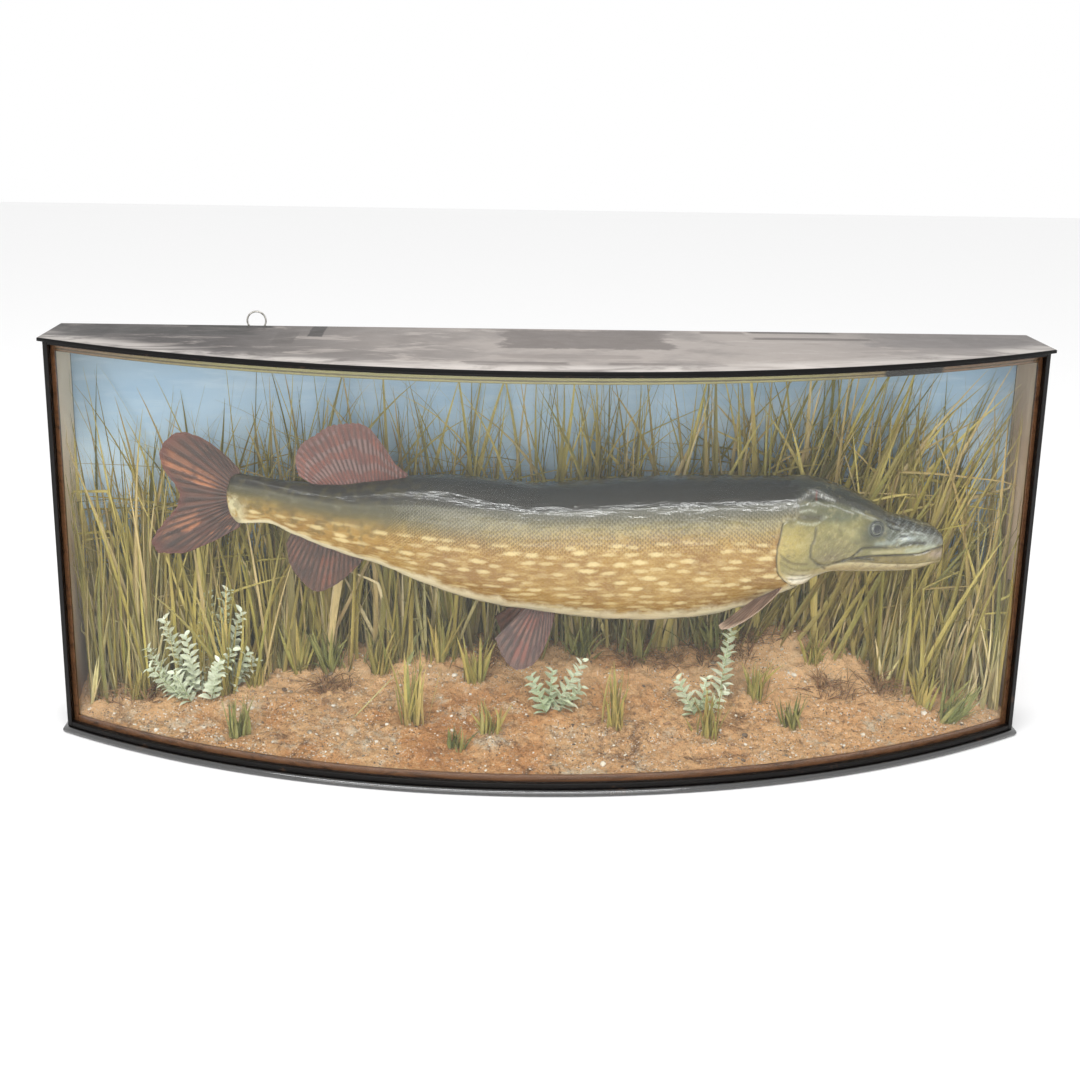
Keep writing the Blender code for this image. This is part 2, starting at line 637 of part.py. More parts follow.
def make_body_cutter():
    """The whole body a little larger, which fins and rods are cut by."""
    steps = list(HEAD_RINGS[-3:]) + [HEAD_END - GAP / 2]
    for _, start, end in TRUNK_CUTS:
        steps += trunk_steps(start, end)
    rings = [body_section(step, GAP * 1.5) for step in steps]
    rings.append([point - Vector((GAP, 0, 0)) for point in rings[-1]])
    return hide_cutter(add_object("body_room", loft_mesh(rings), SKIN, "skin"))


def curve_through(points, count):
    """Evenly spaced points on a smooth open curve through a few points."""
    points = np.array(points)
    lengths = np.concatenate(([0.0], np.cumsum(np.linalg.norm(np.diff(points, axis=0), axis=1))))
    spots = np.linspace(0, lengths[-1], count)
    columns = [[smooth_through(lengths, points[:, k], spot) for spot in spots]
               for k in range(points.shape[1])]
    return np.array(columns).T


def fin_mesh(root, margin, rays, rows=3):
    """A fin of rays fanned from its root to its margin, thicker at the root and along each ray."""
    count = 2 * rays + 1
    starts = curve_through(root, count)
    ends = curve_through(margin, count)
    across_fin = np.cross(ends[rays] - starts[rays], ends[-1] - ends[0])
    across_fin /= np.linalg.norm(across_fin)
    bm = bmesh.new()
    sheets = {}
    for side in (-1, 1):
        for i in range(count):
            for j in range(rows + 1):
                t = j / rows
                thick = FIN_ROOT_THICKNESS + (FIN_EDGE_THICKNESS - FIN_ROOT_THICKNESS) * t
                thick += FIN_RAY_RELIEF * (1 if i % 2 else -1)
                point = starts[i] + (ends[i] - starts[i]) * t + side * across_fin * thick / 2
                sheets[side, i, j] = bm.verts.new(point)
    for i in range(count - 1):
        for j in range(rows):
            for side in (-1, 1):
                bm.faces.new([sheets[side, a, b] for a, b in (
                    (i, j), (i + 1, j), (i + 1, j + 1), (i, j + 1))])
    rim = [(i, rows) for i in range(count)] + [(count - 1, j) for j in reversed(range(rows))]
    rim += [(i, 0) for i in reversed(range(count - 1))] + [(0, j) for j in range(1, rows)]
    for here, after in zip(rim, rim[1:] + rim[:1]):
        edge = ((1, *here), (1, *after), (-1, *after), (-1, *here))
        bm.faces.new([sheets[corner] for corner in edge])
    return bm


def in_case(points, side=0):
    """Fish places as case coordinates: (distance, height) or (distance, outward, height)."""
    placed = []
    for point in points:
        distance, height = point[0], point[-1]
        outward = side * point[1] if len(point) == 3 else 0.0
        placed.append((SNOUT_X - distance, FISH_Y + outward, height))
    return placed


def make_fins(body_room):
    single = (("dorsal_fin", DORSAL_ROOT, DORSAL_MARGIN, 15),
              ("anal_fin", ANAL_ROOT, ANAL_MARGIN, 12),
              ("caudal_fin", CAUDAL_ROOT, CAUDAL_MARGIN, 17))
    for name, root, margin, rays in single:
        bm = fin_mesh(in_case(root), in_case(margin), rays)
        boolean(add_object(name, bm, FIN_SKIN, "fin_skin"), body_room)
    paired = (("pelvic_fin", PELVIC_ROOT, PELVIC_MARGIN),
              ("pectoral_fin", PECTORAL_ROOT, PECTORAL_MARGIN))
    for name, root, margin in paired:
        for side_name, side in (("right", -1), ("left", 1)):
            bm = fin_mesh(in_case(root, side), in_case(margin, side), 9)
            boolean(add_object(name + "_" + side_name, bm, FIN_SKIN, "fin_skin"), body_room)


def make_rods(body_room):
    for name, distance, height in RODS:
        wall = Vector((SNOUT_X - distance, BACK_Y - BACK_THICKNESS - GAP, height))
        inside = Vector((SNOUT_X - distance, FISH_Y, height))
        rod = rod_mesh(wall, inside, ROD_RADIUS)
        boolean(add_object(name, rod, EBONISED, "ebonised_wood", smooth=True), body_room)


def main():
    clear_scene()
    make_base_board()
    make_lid_board()
    make_rails()
    make_posts()
    make_front_glass()
    make_slips()
    make_walls()
    make_hanger("left", -HANGER_X, ring_up=True)
    make_hanger("right", HANGER_X, ring_up=False)
    make_groundwork()
    make_head()
    make_trunk()
    body_room = make_body_cutter()
    make_fins(body_room)
    make_rods(body_room)


main()
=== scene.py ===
"""Finish of the mounted pike: its skin, scales and fins, the groundwork and reeds, and the case.

A place on the fish is (distance from the snout, height above the case's foot), in metres.
"""
import math
import random

import bmesh
import bpy
import numpy as np
from mathutils import Matrix, Vector, noise


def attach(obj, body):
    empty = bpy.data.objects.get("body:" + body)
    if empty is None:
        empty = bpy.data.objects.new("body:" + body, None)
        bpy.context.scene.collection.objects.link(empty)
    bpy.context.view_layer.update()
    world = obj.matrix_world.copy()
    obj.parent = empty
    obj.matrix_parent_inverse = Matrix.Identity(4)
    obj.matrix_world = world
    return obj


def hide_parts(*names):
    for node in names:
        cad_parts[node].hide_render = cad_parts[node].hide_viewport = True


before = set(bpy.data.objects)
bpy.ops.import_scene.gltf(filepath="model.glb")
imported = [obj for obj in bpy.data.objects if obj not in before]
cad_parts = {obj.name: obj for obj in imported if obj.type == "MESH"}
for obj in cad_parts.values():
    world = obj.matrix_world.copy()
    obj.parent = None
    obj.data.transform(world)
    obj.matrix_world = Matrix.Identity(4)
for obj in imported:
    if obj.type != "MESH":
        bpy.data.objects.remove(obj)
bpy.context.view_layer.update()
scene = bpy.context.scene
rng = np.random.default_rng(11)

GAP = 0.0003  # clearance between parts that meet
HALF_WIDTH = 0.654  # to the outer faces of the posts
BOW_RISE = 0.203  # how far the front bows out past the chord
CASE_HEIGHT = 0.5435
FOOT_THICKNESS = 0.009
LID_THICKNESS = 0.0045
LIP = 0.006  # how far the foot and the lid stand out past the posts
POST_WIDTH = 0.0072
POST_DEPTH = 0.014
WALL = 0.007
RAIL_DEPTH = 0.008
PANE = 0.002
SLIP_WIDTH = 0.007
SLIP_DEPTH = 0.006
LOW_SLIP = 0.0142  # heights of the slips along the foot and under the lid
HIGH_SLIP = 0.0138
CHORD_Y = 0.0407  # the straight line between the posts' front corners
BACK_Y = CHORD_Y + 0.1205
BACK_FRONT_Y = BACK_Y - 0.008
BOW_RADIUS = (HALF_WIDTH**2 + BOW_RISE**2) / (2 * BOW_RISE)
BOW_CENTRE_Y = CHORD_Y + BOW_RADIUS - BOW_RISE
FOOT = FOOT_THICKNESS + GAP
TOP = CASE_HEIGHT - LID_THICKNESS - GAP
OPENING = HALF_WIDTH - POST_WIDTH - GAP
PANE_OUTSIDE = -RAIL_DEPTH - GAP  # these three are offsets from the bow, minus is inwards
SLIP_OUTSIDE = PANE_OUTSIDE - PANE - GAP
SLIP_INSIDE = SLIP_OUTSIDE - SLIP_DEPTH
SLIP_SPAN = OPENING - SLIP_WIDTH - GAP
BOW_STEPS = 96

SNOUT_X = 0.526  # the tip of the snout. Distances are measured from it towards the tail
FISH_Y = CHORD_Y - 0.025  # the fish's middle plane
HEAD_END = 0.238
STOCK_END = 0.948
COAT = 0.0008  # the skin lies this far inside the solids, and scales fill the gap
FAR_SIDE = 1.37  # added to the far side's distances, so that the two sides' markings differ
FAR_FROM = 1.2  # distances past this are on the far side
TAIL_ROUND = 0.018  # the stock is rounded off over this length
FULL_TURN = 2 * math.pi


# ---------------------------------------------------------------- node trees

def hue(code):
    """A linear colour from a painter's hex code."""
    parts = [int(code[i:i + 2], 16) / 255 for i in (0, 2, 4)]
    return tuple(p / 12.92 if p <= 0.04045 else ((p + 0.055) / 1.055)**2.4 for p in parts)


class Value:
    """What a node gives out. Sums and products of it add nodes."""

    def __init__(self, graph, socket):
        self.graph, self.socket = graph, socket

    def do(self, way, *others):
        return self.graph.node("ShaderNodeMath", enumerate((self, *others)), operation=way)

    def __add__(self, other):
        return self.do("ADD", other)

    def __sub__(self, other):
        return self.do("SUBTRACT", other)

    def __mul__(self, other):
        return self.do("MULTIPLY", other)

    def __truediv__(self, other):
        return self.do("DIVIDE", other)

    def __pow__(self, other):
        return self.do("POWER", other)

    def __abs__(self):
        return self.do("ABSOLUTE")

    def step(self, low, high, amount=1.0):
        """A smooth step up from low to high, or down where low is above high."""
        feeds = {0: self, 1: low, 2: high, 3: 0.0, 4: amount}
        return self.graph.node("ShaderNodeMapRange", feeds, interpolation_type="SMOOTHSTEP")

    def split(self):
        """Its x, y and z, or red, green and blue."""
        x = self.graph.node("ShaderNodeSeparateXYZ", {0: self})
        return x, x.also(1), x.also(2)

    def also(self, output):
        """Another output of the same node."""
        return Value(self.graph, self.socket.node.outputs[output])

    def plus(self, other):
        """The sum of two vectors."""
        return self.graph.node("ShaderNodeVectorMath", {0: self, 1: other}, operation="ADD")

    def times(self, other):
        """Two vectors multiplied part by part."""
        return self.graph.node("ShaderNodeVectorMath", {0: self, 1: other}, operation="MULTIPLY")


class Graph:
    """A node tree, with a short way to add nodes to it."""

    def feed(self, socket, value):
        """Link a value to a socket, or set a constant on it."""
        if isinstance(value, Value):
            self.tree.links.new(value.socket, socket)
        elif socket.type == "RGBA":
            socket.default_value = (*(hue(value) if isinstance(value, str) else value), 1.0)
        else:
            socket.default_value = value

    def node(self, kind, feeds=(), output=0, **settings):
        """Add a node, feed its inputs by name or number, and give one of its outputs."""
        made = self.tree.nodes.new(kind)
        for key, value in settings.items():
            setattr(made, key, value)
        for key, value in dict(feeds).items():
            self.feed(made.inputs[key], value)
        return Value(self, made.outputs[output])


class Finish(Graph):
    """A Principled material."""

    def __init__(self, name, **constants):
        self.material = bpy.data.materials.new(name)
        self.material.use_nodes = True
        self.tree = self.material.node_tree
        self.shader = self.tree.nodes["Principled BSDF"]
        self.place = self.node("ShaderNodeTexCoord", output="Object")
        for key, value in constants.items():
            self.feed(self.shader.inputs[key.replace("_", " ")], value)

    def stretched(self, scale, turn=(0, 0, 0)):
        """Places scaled and turned, for a pattern with a grain."""
        return self.node("ShaderNodeMapping", {0: self.place, 2: turn, 3: scale})

    def attribute(self, name, output="Vector"):
        return self.node("ShaderNodeAttribute", output=output, attribute_name=name)

    def join(self, x, y, z=0.0):
        return self.node("ShaderNodeCombineXYZ", {0: x, 1: y, 2: z})

    def noise(self, scale, detail=4.0, rough=0.6, of=None, warp=0.0):
        feeds = {"Vector": of or self.place, "Scale": scale, "Detail": detail,
                 "Roughness": rough, "Distortion": warp}
        return self.node("ShaderNodeTexNoise", feeds)

    def patch(self, scale, low, high, amount=1.0, **more):
        """Soft-edged patches cut from noise."""
        return self.noise(scale, **more).step(low, high, amount)

    def cells(self, scale):
        return self.node("ShaderNodeTexVoronoi", {"Vector": self.place, "Scale": scale})

    def mix(self, share, a, b):
        made = self.tree.nodes.new("ShaderNodeMix")
        made.data_type = "RGBA"
        for index, value in ((0, share), (6, a), (7, b)):
            self.feed(made.inputs[index], value)
        return Value(self, made.outputs[2])

    def layers(self, base, *coats):
        """Colours laid over a base one after another, each (share, colour)."""
        for share, colour in coats:
            base = self.mix(share, base, colour)
        return base

    def ramp(self, value, *stops):
        """Colours laid along a value."""
        made = self.node("ShaderNodeValToRGB", {0: value})
        bands = made.socket.node.color_ramp.elements
        while len(bands) < len(stops):
            bands.new(0.5)
        for band, (place, colour) in zip(bands, stops):
            band.position, band.color = place, (*hue(colour), 1.0)
        return made

    def paint(self, colour, rough):
        """Colour and roughness."""
        self.feed(self.shader.inputs["Base Color"], colour)
        self.feed(self.shader.inputs["Roughness"], rough)

    def bump(self, height, distance, strength=0.5, of="Normal"):
        """Relief, added to what the surface has already."""
        feeds = {"Height": height, "Distance": distance, "Strength": strength}
        normal = self.shader.inputs[of]
        if normal.is_linked:
            feeds["Normal"] = Value(self, normal.links[0].from_socket)
        self.feed(normal, self.node("ShaderNodeBump", feeds))


class Tree(Graph):
    """A geometry node tree with named inputs."""

    def __init__(self, name, **inputs):
        self.tree = bpy.data.node_groups.new(name, "GeometryNodeTree")
        face = self.tree.interface
        face.new_socket("Guide", in_out="INPUT", socket_type="NodeSocketGeometry")
        kinds = {float: "Float", int: "Int", bpy.types.Object: "Object",
                 bpy.types.Material: "Material"}
        self.values = {}
        for key, value in inputs.items():
            kind = next(kinds[k] for k in kinds if isinstance(value, k))
            made = face.new_socket(key, in_out="INPUT", socket_type="NodeSocket" + kind)
            self.values[made.identifier] = value
        face.new_socket("Shape", in_out="OUTPUT", socket_type="NodeSocketGeometry")
        entry = self.tree.nodes.new("NodeGroupInput").outputs
        self.entry = {socket.name: Value(self, socket) for socket in entry}

    def read(self, name, kind="FLOAT_VECTOR"):
        return self.node("GeometryNodeInputNamedAttribute", {"Name": name}, data_type=kind)

    def store(self, shape, name, value, kind, domain):
        feeds = {"Geometry": shape, "Name": name, "Value": value}
        return self.node("GeometryNodeStoreNamedAttribute", feeds, data_type=kind, domain=domain)

    def repeat(self, pattern):
        """The pattern on every seat, turned and sized as the seat says, as one shape."""
        placed = self.node("GeometryNodeInstanceOnPoints", {
            "Points": self.entry["Guide"],
            "Instance": self.node("GeometryNodeObjectInfo", {0: self.entry[pattern]}, "Geometry"),
            "Rotation": self.node("FunctionNodeEulerToRotation", {0: self.read("turned")}),
            "Scale": self.read("size")})
        return self.node("GeometryNodeRealizeInstances", {0: placed})

    def run(self, name, shape, guide):
        """End the tree, and give its result on a guide as a plain mesh."""
        shape = self.node("GeometryNodeRealizeInstances", {0: shape})
        shape = self.node("GeometryNodeSetMaterial",
                          {"Geometry": shape, "Material": self.entry["Finish"]})
        self.feed(self.tree.nodes.new("NodeGroupOutput").inputs[0], shape)
        host = bpy.data.objects.new(name + "_guide", guide)
        scene.collection.objects.link(host)
        change = host.modifiers.new("nodes", "NODES")
        change.node_group = self.tree
        for key, value in self.values.items():
            change[key] = value
        host.update_tag()
        depsgraph = bpy.context.evaluated_depsgraph_get()
        made = bpy.data.meshes.new_from_object(host.evaluated_get(depsgraph),
                                               preserve_all_data_layers=True,
                                               depsgraph=depsgraph)
        host.modifiers.clear()
        bpy.data.objects.remove(host)
        return made


# ---------------------------------------------------------------- finishes

def ebonised_finish(name, shine):
    """Black shellac over softwood, with the brown of the wood where it has worn."""
    f = Finish(name, Coat_Weight=shine, Coat_Roughness=0.18 - 0.12 * shine,
               Coat_IOR=1.5 + 0.6 * shine, Specular_IOR_Level=0.10 + 0.3 * shine)
    grain = f.noise(60, 6, of=f.stretched((1, 6, 6)))
    black = f.mix(grain, "090808", "141110")
    f.paint(f.mix(f.patch(38, 0.62, 0.76, rough=0.7), black, "3b2a1e"), grain * 0.25 + 0.22)
    f.bump(f.noise(260, 5, of=f.stretched((1, 5, 5))), 0.0004)
    f.bump(f.noise(24, 3), 0.0015, 0.35)
    return f.material


LID_MARKS = (  # x, y, half length, half depth, colour, strength
    (0.044, 0.075, 0.110, 0.078, "6f6864", 0.85), (-0.500, 0.110, 0.110, 0.030, "3f3d3b", 0.75),
    (-0.430, 0.150, 0.060, 0.012, "353331", 0.9), (-0.310, 0.120, 0.010, 0.050, "403d3b", 0.9),
    (-0.346, 0.060, 0.014, 0.050, "5d5855", 0.7), (-0.050, -0.114, 0.065, 0.012, "6b6460", 0.8),
    (0.135, -0.110, 0.070, 0.009, "6b6460", 0.65),
    (0.020, -0.060, 0.090, 0.014, "8a827d", 0.6), (0.330, 0.155, 0.060, 0.010, "5d5855", 0.9),
    (0.350, 0.100, 0.085, 0.010, "706965", 0.9), (0.235, 0.145, 0.030, 0.010, "706965", 0.7),
    (0.560, 0.100, 0.140, 0.060, "777270", 0.6), (-0.640, 0.080, 0.060, 0.080, "3b3938", 0.6))


def lid_finish():
    """Old dusty paint on the lid: dark at the left, pinker to the right, with scraped patches."""
    f = Finish("lid_paint", Specular_IOR_Level=0.12)
    x, y, _ = f.place.split()
    wobble = f.noise(34, 5, 0.65)
    streak = f.noise(7, 6, 0.7, of=f.stretched((1.3, 3.2, 1), (0, 0, 0.35)), warp=0.8)
    scratch = f.patch(15, 0.60, 0.67, 0.55, detail=7, rough=0.75,
                      of=f.stretched((0.8, 9, 1), (0, 0, -0.42)))
    base = f.layers(
        f.mix(x.step(-0.50, -0.02), "4e4a49", "a49c96"),
        (x.step(0.30, 0.62, 0.7), "7b7675"),
        (f.patch(6, 0.46, 0.62, 0.5, detail=5), "6f6a67"),
        (streak.step(0.52, 0.66, 0.5), "bcb3ac"),
        (scratch, "4f4a48"))
    for cx, cy, long, deep, colour, strength in LID_MARKS:
        edge = (abs(x - cx) / long).do("MAXIMUM", abs(y - cy) / deep) + wobble * 0.8
        base = f.mix(edge.step(1.46, 1.30, strength), base, colour)
    rim = (x * x + (y - BOW_CENTRE_Y)**2)**0.5 - BOW_RADIUS
    base = f.layers(
        base,
        (rim.step(-0.06, -0.010, 0.8) * streak.step(0.36, 0.58), "cfc8c2"),
        (abs(x).step(0.20, 0.50, 0.10) + 0.16, "1b1918"),
        (rim.step(0.0030, 0.0046), "080707"))
    f.paint(base, wobble * 0.3 + 0.36)
    f.bump(streak, 0.0010)
    f.bump(f.noise(420), 0.0003)
    return f.material


def wood_finish(name, dark, light, rough=0.5):
    """Stained wood with its grain along X."""
    f = Finish(name, Coat_Weight=0.2, Coat_Roughness=0.25)
    figure = f.noise(3.0, 8, 0.62, of=f.stretched((2.0, 30.0, 30.0)), warp=0.8)
    fleck = f.noise(180, 3, of=f.stretched((1, 8, 8)))
    colour = f.ramp(figure, (0.32, dark), (0.52, light), (0.72, dark))
    f.paint(f.mix(fleck.step(0.55, 0.75, 0.5), colour, dark), figure * 0.2 + (rough - 0.1))
    f.bump(figure, 0.0005)
    f.bump(fleck, 0.0002)
    return f.material


def boarding_finish():
    """Rough boards behind the case, each its own tone, with fine grain and dark seams."""
    f = Finish("back_boarding")
    x, _, z = f.place.split()
    boards_per_metre = 5.6
    place = (z - FOOT) * boards_per_metre
    board = place.do("FLOOR")
    grain = f.noise(3.0, 9, 0.66, of=f.join(x * 0.8 + board * 3.0, board, z * 42.0), warp=0.25)
    seam = abs(place.do("FRACT") - 0.5).step(0.4915, 0.4975)
    base = f.layers(
        f.ramp(grain, (0.30, "5a3f28"), (0.46, "85623f"), (0.58, "a27c53"), (0.74, "77563a")),
        ((board * 0.37).do("FRACT") * 0.5, "4e3f31"),
        (f.patch(4, 0.50, 0.72, 0.5, detail=7, of=f.stretched((0.6, 1, 1.6))), "43352a"),
        (seam, "140f0b"))
    f.paint(base, 0.75)
    f.bump(grain, 0.0008)
    f.bump(seam * -1.0, 0.0015)
    return f.material


def gilt_finish():
    """Dull gilt on the bead under the lid, gone brown towards both ends."""
    f = Finish("dull_gilt", Coat_Weight=0.15)
    x, _, z = f.place.split()
    streak = f.noise(30, 5, of=f.stretched((1, 14, 20)))
    foot = z - (TOP - HIGH_SLIP) + streak * 0.0016
    ends = abs(x + 0.06).step(0.30, 0.58)
    lines = foot.step(0.0034, 0.0039) * foot.step(0.0057, 0.0051)
    base = f.layers(
        f.mix(ends, f.mix(streak, "a39a66", "7a7247"), f.mix(streak, "8a6a4c", "4a3424")),
        (lines.do("MAXIMUM", foot.step(0.0016, 0.0010)) * 0.8, "3a3323"),
        (x.step(0.405, 0.410) * x.step(0.492, 0.487), "1d1712"))
    f.paint(base, streak * 0.2 + 0.4)
    f.bump(streak, 0.0005)
    return f.material


def cream_finish():
    """Distempered side walls, a little dirty, darker towards the foot, with painted shade in the
    back corner.
    """
    f = Finish("cream_paint", Specular_IOR_Level=0.3)
    _, y, z = f.place.split()
    base = f.layers(
        f.mix(f.noise(14, 5), "fbead4", "e2cbb0"),
        (f.patch(5, 0.50, 0.70, detail=5, of=f.stretched((1, 1, 0.4))), "c4a88e"),
        (z.step(0.14, 0.02), "a98d78"),
        # painted shade in the back corner, where the wall meets the back board
        (y.step(BACK_FRONT_Y - 0.006, BACK_FRONT_Y - 0.001), "3c332c"))
    f.paint(base, 0.72)
    f.bump(f.noise(90, 6), 0.0006)
    return f.material


def sky_finish(name):
    """Painted sky: painted reeds at the foot, then blue, paler low down and greyer towards the lid,
    with clouds and brush marks; the paler blue low down is partly painted light.
    """
    f = Finish(name, Specular_IOR_Level=0.25)
    _, _, z = f.place.split()
    cloud = f.noise(2.6, 6, of=f.stretched((1, 1, 2.6)), warp=0.5)
    brushed = f.noise(16, 5, of=f.stretched((1, 1, 7)))
    stroke = f.noise(9, 6, of=f.stretched((4, 1, 0.25)), warp=0.3)
    base = f.layers(
        # paler low down: partly the painted sky's own grading, partly painted light where the lid
        # and reeds keep light from the back
        f.mix(z.step(0.34, 0.47), "d4eafb", "b4cde1"),
        (z.step(0.42, 0.53), "9fb3c3"),
        (cloud.step(0.46, 0.68, 0.55), "d6e1ea"),
        (cloud.step(0.50, 0.32, 0.45), "93b4d1"),
        (brushed.step(0.45, 0.70, 0.22), "dfe8ee"),
        # the painted reeds also darken the gaps between the real reeds as painted shade
        ((z + stroke * 0.16).step(0.34, 0.24),
         f.ramp(stroke, (0.36, "4f4c30"), (0.50, "8a8254"), (0.62, "6b6540"))))
    f.paint(base, 0.8)
    f.bump(brushed, 0.0005)
    return f.material


def pane_finish():
    """Thin old window glass: what is behind shows straight through it."""
    f = Finish("pane", Roughness=0.02, Metallic=1.0, Base_Color=(0.94, 0.96, 0.95))
    clear = f.node("ShaderNodeBsdfTransparent", {0: (0.985, 0.992, 0.988)})
    slant = f.node("ShaderNodeLayerWeight", {"Blend": 0.5}, "Facing")
    made = f.node("ShaderNodeMixShader", {0: slant**5 * 0.9 + 0.018, 1: clear,
                                          2: Value(f, f.shader.outputs[0])})
    f.feed(f.tree.nodes["Material Output"].inputs["Surface"], made)
    return f.material


def metal_finish(name, colour, tarnish):
    """Bright metal that has tarnished in patches."""
    f = Finish(name, Metallic=1.0)
    age = f.noise(180, 5, 0.7)
    f.paint(f.mix(age.step(0.42, 0.66), colour, tarnish), age * 0.35 + 0.24)
    f.bump(f.noise(700), 0.0002)
    return f.material


def sand_finish():
    """Modelled groundwork: orange sand in size, lighter and oranger to the right, with pale plaster
    and grit; its crumbs carry painted shade in their hollows and painted highlights on their tops,
    and the sand at the back carries painted light.
    """
    f = Finish("sand", Specular_IOR_Level=0.2)
    x, y, _ = f.place.split()
    crumb, size = f.noise(135, 7, 0.8), f.cells(430)
    red, green, blue = size.also("Color").split()
    grit = f.patch(22, 0.40, 0.62) * size.step(0.60, 0.35)
    behind = y.step(CHORD_Y - 0.05, CHORD_Y + 0.04)
    base = f.layers(
        f.ramp(f.noise(9, 6, 0.65), (0.30, "b07748"), (0.44, "d0945c"), (0.58, "dcae7c"),
               (0.74, "bc8456")),
        (x.step(-0.20, 0.50, 0.50), "f4bf8a"),
        # painted shade in the hollows of the crumbs and painted highlights on their tops; the same
        # noise raises them in the bump below
        (crumb.step(0.47, 0.36, 0.65), "7b5232"),
        (crumb.step(0.53, 0.64, 0.60), "f3d3a6"),
        (f.patch(19, 0.53, 0.64, 0.80, detail=8, rough=0.75), "dccbb0"),
        (f.patch(13, 0.54, 0.66, 0.85, detail=8, rough=0.75, warp=0.6), "6f4d33"),
        (f.patch(60, 0.55, 0.70, 0.7, detail=6, rough=0.7), "513724"),
        # painted light: the sand at the back is lightened where the fish and reeds keep the light
        # off it
        (behind * f.patch(20, 0.26, 0.46, 0.75), "f4c896"),
        (red.step(0.80, 0.88) * grit, "f8f1e4"),
        (green.step(0.88, 0.93) * grit, "4b382a"),
        (blue.step(0.80, 0.90) * grit, "dbb184"))
    f.paint(base, 0.9)
    f.bump(f.noise(45, 6, 0.75), 0.018, 0.9)
    f.bump(crumb, 0.0080)
    f.bump(size, 0.0012, 0.6)
    return f.material


def stone_finish():
    """Grit and pebbles, each stone its own tone."""
    f = Finish("pebbles", Specular_IOR_Level=0.4)
    base = f.ramp(f.attribute("tone", "Fac"), (0.0, "f6f0e4"), (0.30, "e6d9c2"), (0.42, "cba57c"),
                  (0.54, "8a6a4e"), (0.66, "c39c72"), (0.80, "a59782"), (0.92, "57483b"),
                  (1.0, "d0a074"))
    f.paint(f.mix(f.noise(300) * 0.4, base, "6b5644"), 0.75)
    f.bump(f.noise(500), 0.0006)
    return f.material


BLADE_TONES = {
    "dry_reed": ("86803f", "a89a4d", "c0ad5f", "d3c072", "8f8346", "b9a066", "cdb682",
                 "6b6731", "9f904a", "c1af63"),
    "under_reed": ("a8a26c", "ccc187", "e2d09b", "f2dcac", "aea87a", "d8c98a", "857f56"),
    "thin_stem": ("7d794a", "9c935e", "b3a870", "8a8254"),
    "low_leaf": ("76794a", "959159", "7f8253", "aba26b", "69704a"),
    "brown_moss": ("6d4c33", "8a6444", "a07c55", "5a3f2b"),
    "tuft_grass": ("93904c", "b5a156", "9e954f", "c2a964", "818345", "a99658"),
    "dark_grass": ("666c3b", "818249", "999253", "6d7140"),
    "sprig_stalk": ("9fb07c", "b3b888", "8c9a69")}


def blade_finish(name):
    """Dried reed or grass: every blade its own tone, browner at the foot, with fine ribs."""
    tones = BLADE_TONES[name]
    f = Finish(name, Specular_IOR_Level=0.3)
    rib = f.noise(900, 3, of=f.stretched((1, 1, 0.03)))
    base = f.layers(
        f.ramp(f.attribute("tone", "Fac"),
               *((i / (len(tones) - 1), code) for i, code in enumerate(tones))),
        (rib.step(0.45, 0.65, 0.30), "4a4726"),
        (f.patch(26, 0.52, 0.72, 0.45, of=f.stretched((1, 1, 0.4))), "9c7d55"),
        (f.attribute("along", "Fac").step(0.22, 0.0, 0.4), "7a6544"))
    f.paint(base, 0.55)
    f.bump(rib, 0.0004)
    return f.material


def flank_colours(f, place, lift, height, mottle):
    """Gold flanks that turn olive and then grey-black towards the back, partly as painted shade,
    greyer at the tail.
    """
    rear = place.step(0.50, 0.74)
    patchy = f.noise(13, 5)
    olive = f.mix(mottle.step(0.35, 0.65), "6a6339", "827644")
    grey = f.mix(patchy, "5c5746", "706b5a")
    dusk = lift.step(0.024, 0.048).do("MAXIMUM", height.step(0.44, 0.72) * rear)
    blot = place.step(0.62, 0.80) * f.patch(80, 0.47, 0.58, detail=6, rough=0.7)
    return f.layers(
        f.mix(patchy.step(0.36, 0.64), "9e7938", "876026"),
        (mottle.step(0.48, 0.70, 0.5), "b4965a"),
        (lift.step(-0.004, 0.030, 0.85), olive),
        (dusk, f.mix(rear * mottle.step(0.26, 0.52), grey, "3c3929")),
        (height.step(0.70, 0.84), "565349"),
        # the dark back: its own dark colour, deepened as painted shade for the lid's dark
        # reflection on the upturned back
        ((rear * 0.08 + height).step(0.835, 0.872), "2b2823"),
        (blot * height.step(0.12, 0.30, 0.6), "4a432b"))


def pale_dashes(f, along, drop, level):
    """Where the pale dashes lie: in staggered, slanting rows that follow the back."""
    slant = 0.43
    row = drop / 0.0112
    column = along / 0.031 + row * slant
    cell = f.node("ShaderNodeTexVoronoi", {"Vector": f.join(column, row), "Scale": 1.0,
                                           "Randomness": 0.62}, "Position",
                  voronoi_dimensions="2D")
    seat_x, seat_y, _ = cell.split()
    chance, girth, gloss = cell.also("Color").split()
    dy = row - seat_y
    dx = (column - seat_x - dy * slant) / (girth * 0.19 + 0.31)
    dy = dy / (gloss * 0.11 + 0.24)
    reach = (dx * dx + dy * dy)**0.5 + f.noise(170, 4) * 1.1
    dash = reach.step(1.68, 0.90) * chance.step(0.05, 0.18) * drop.step(0.009, 0.001)
    return dash * level.step(0.05, 0.12) * (gloss * 0.40 + 0.48)


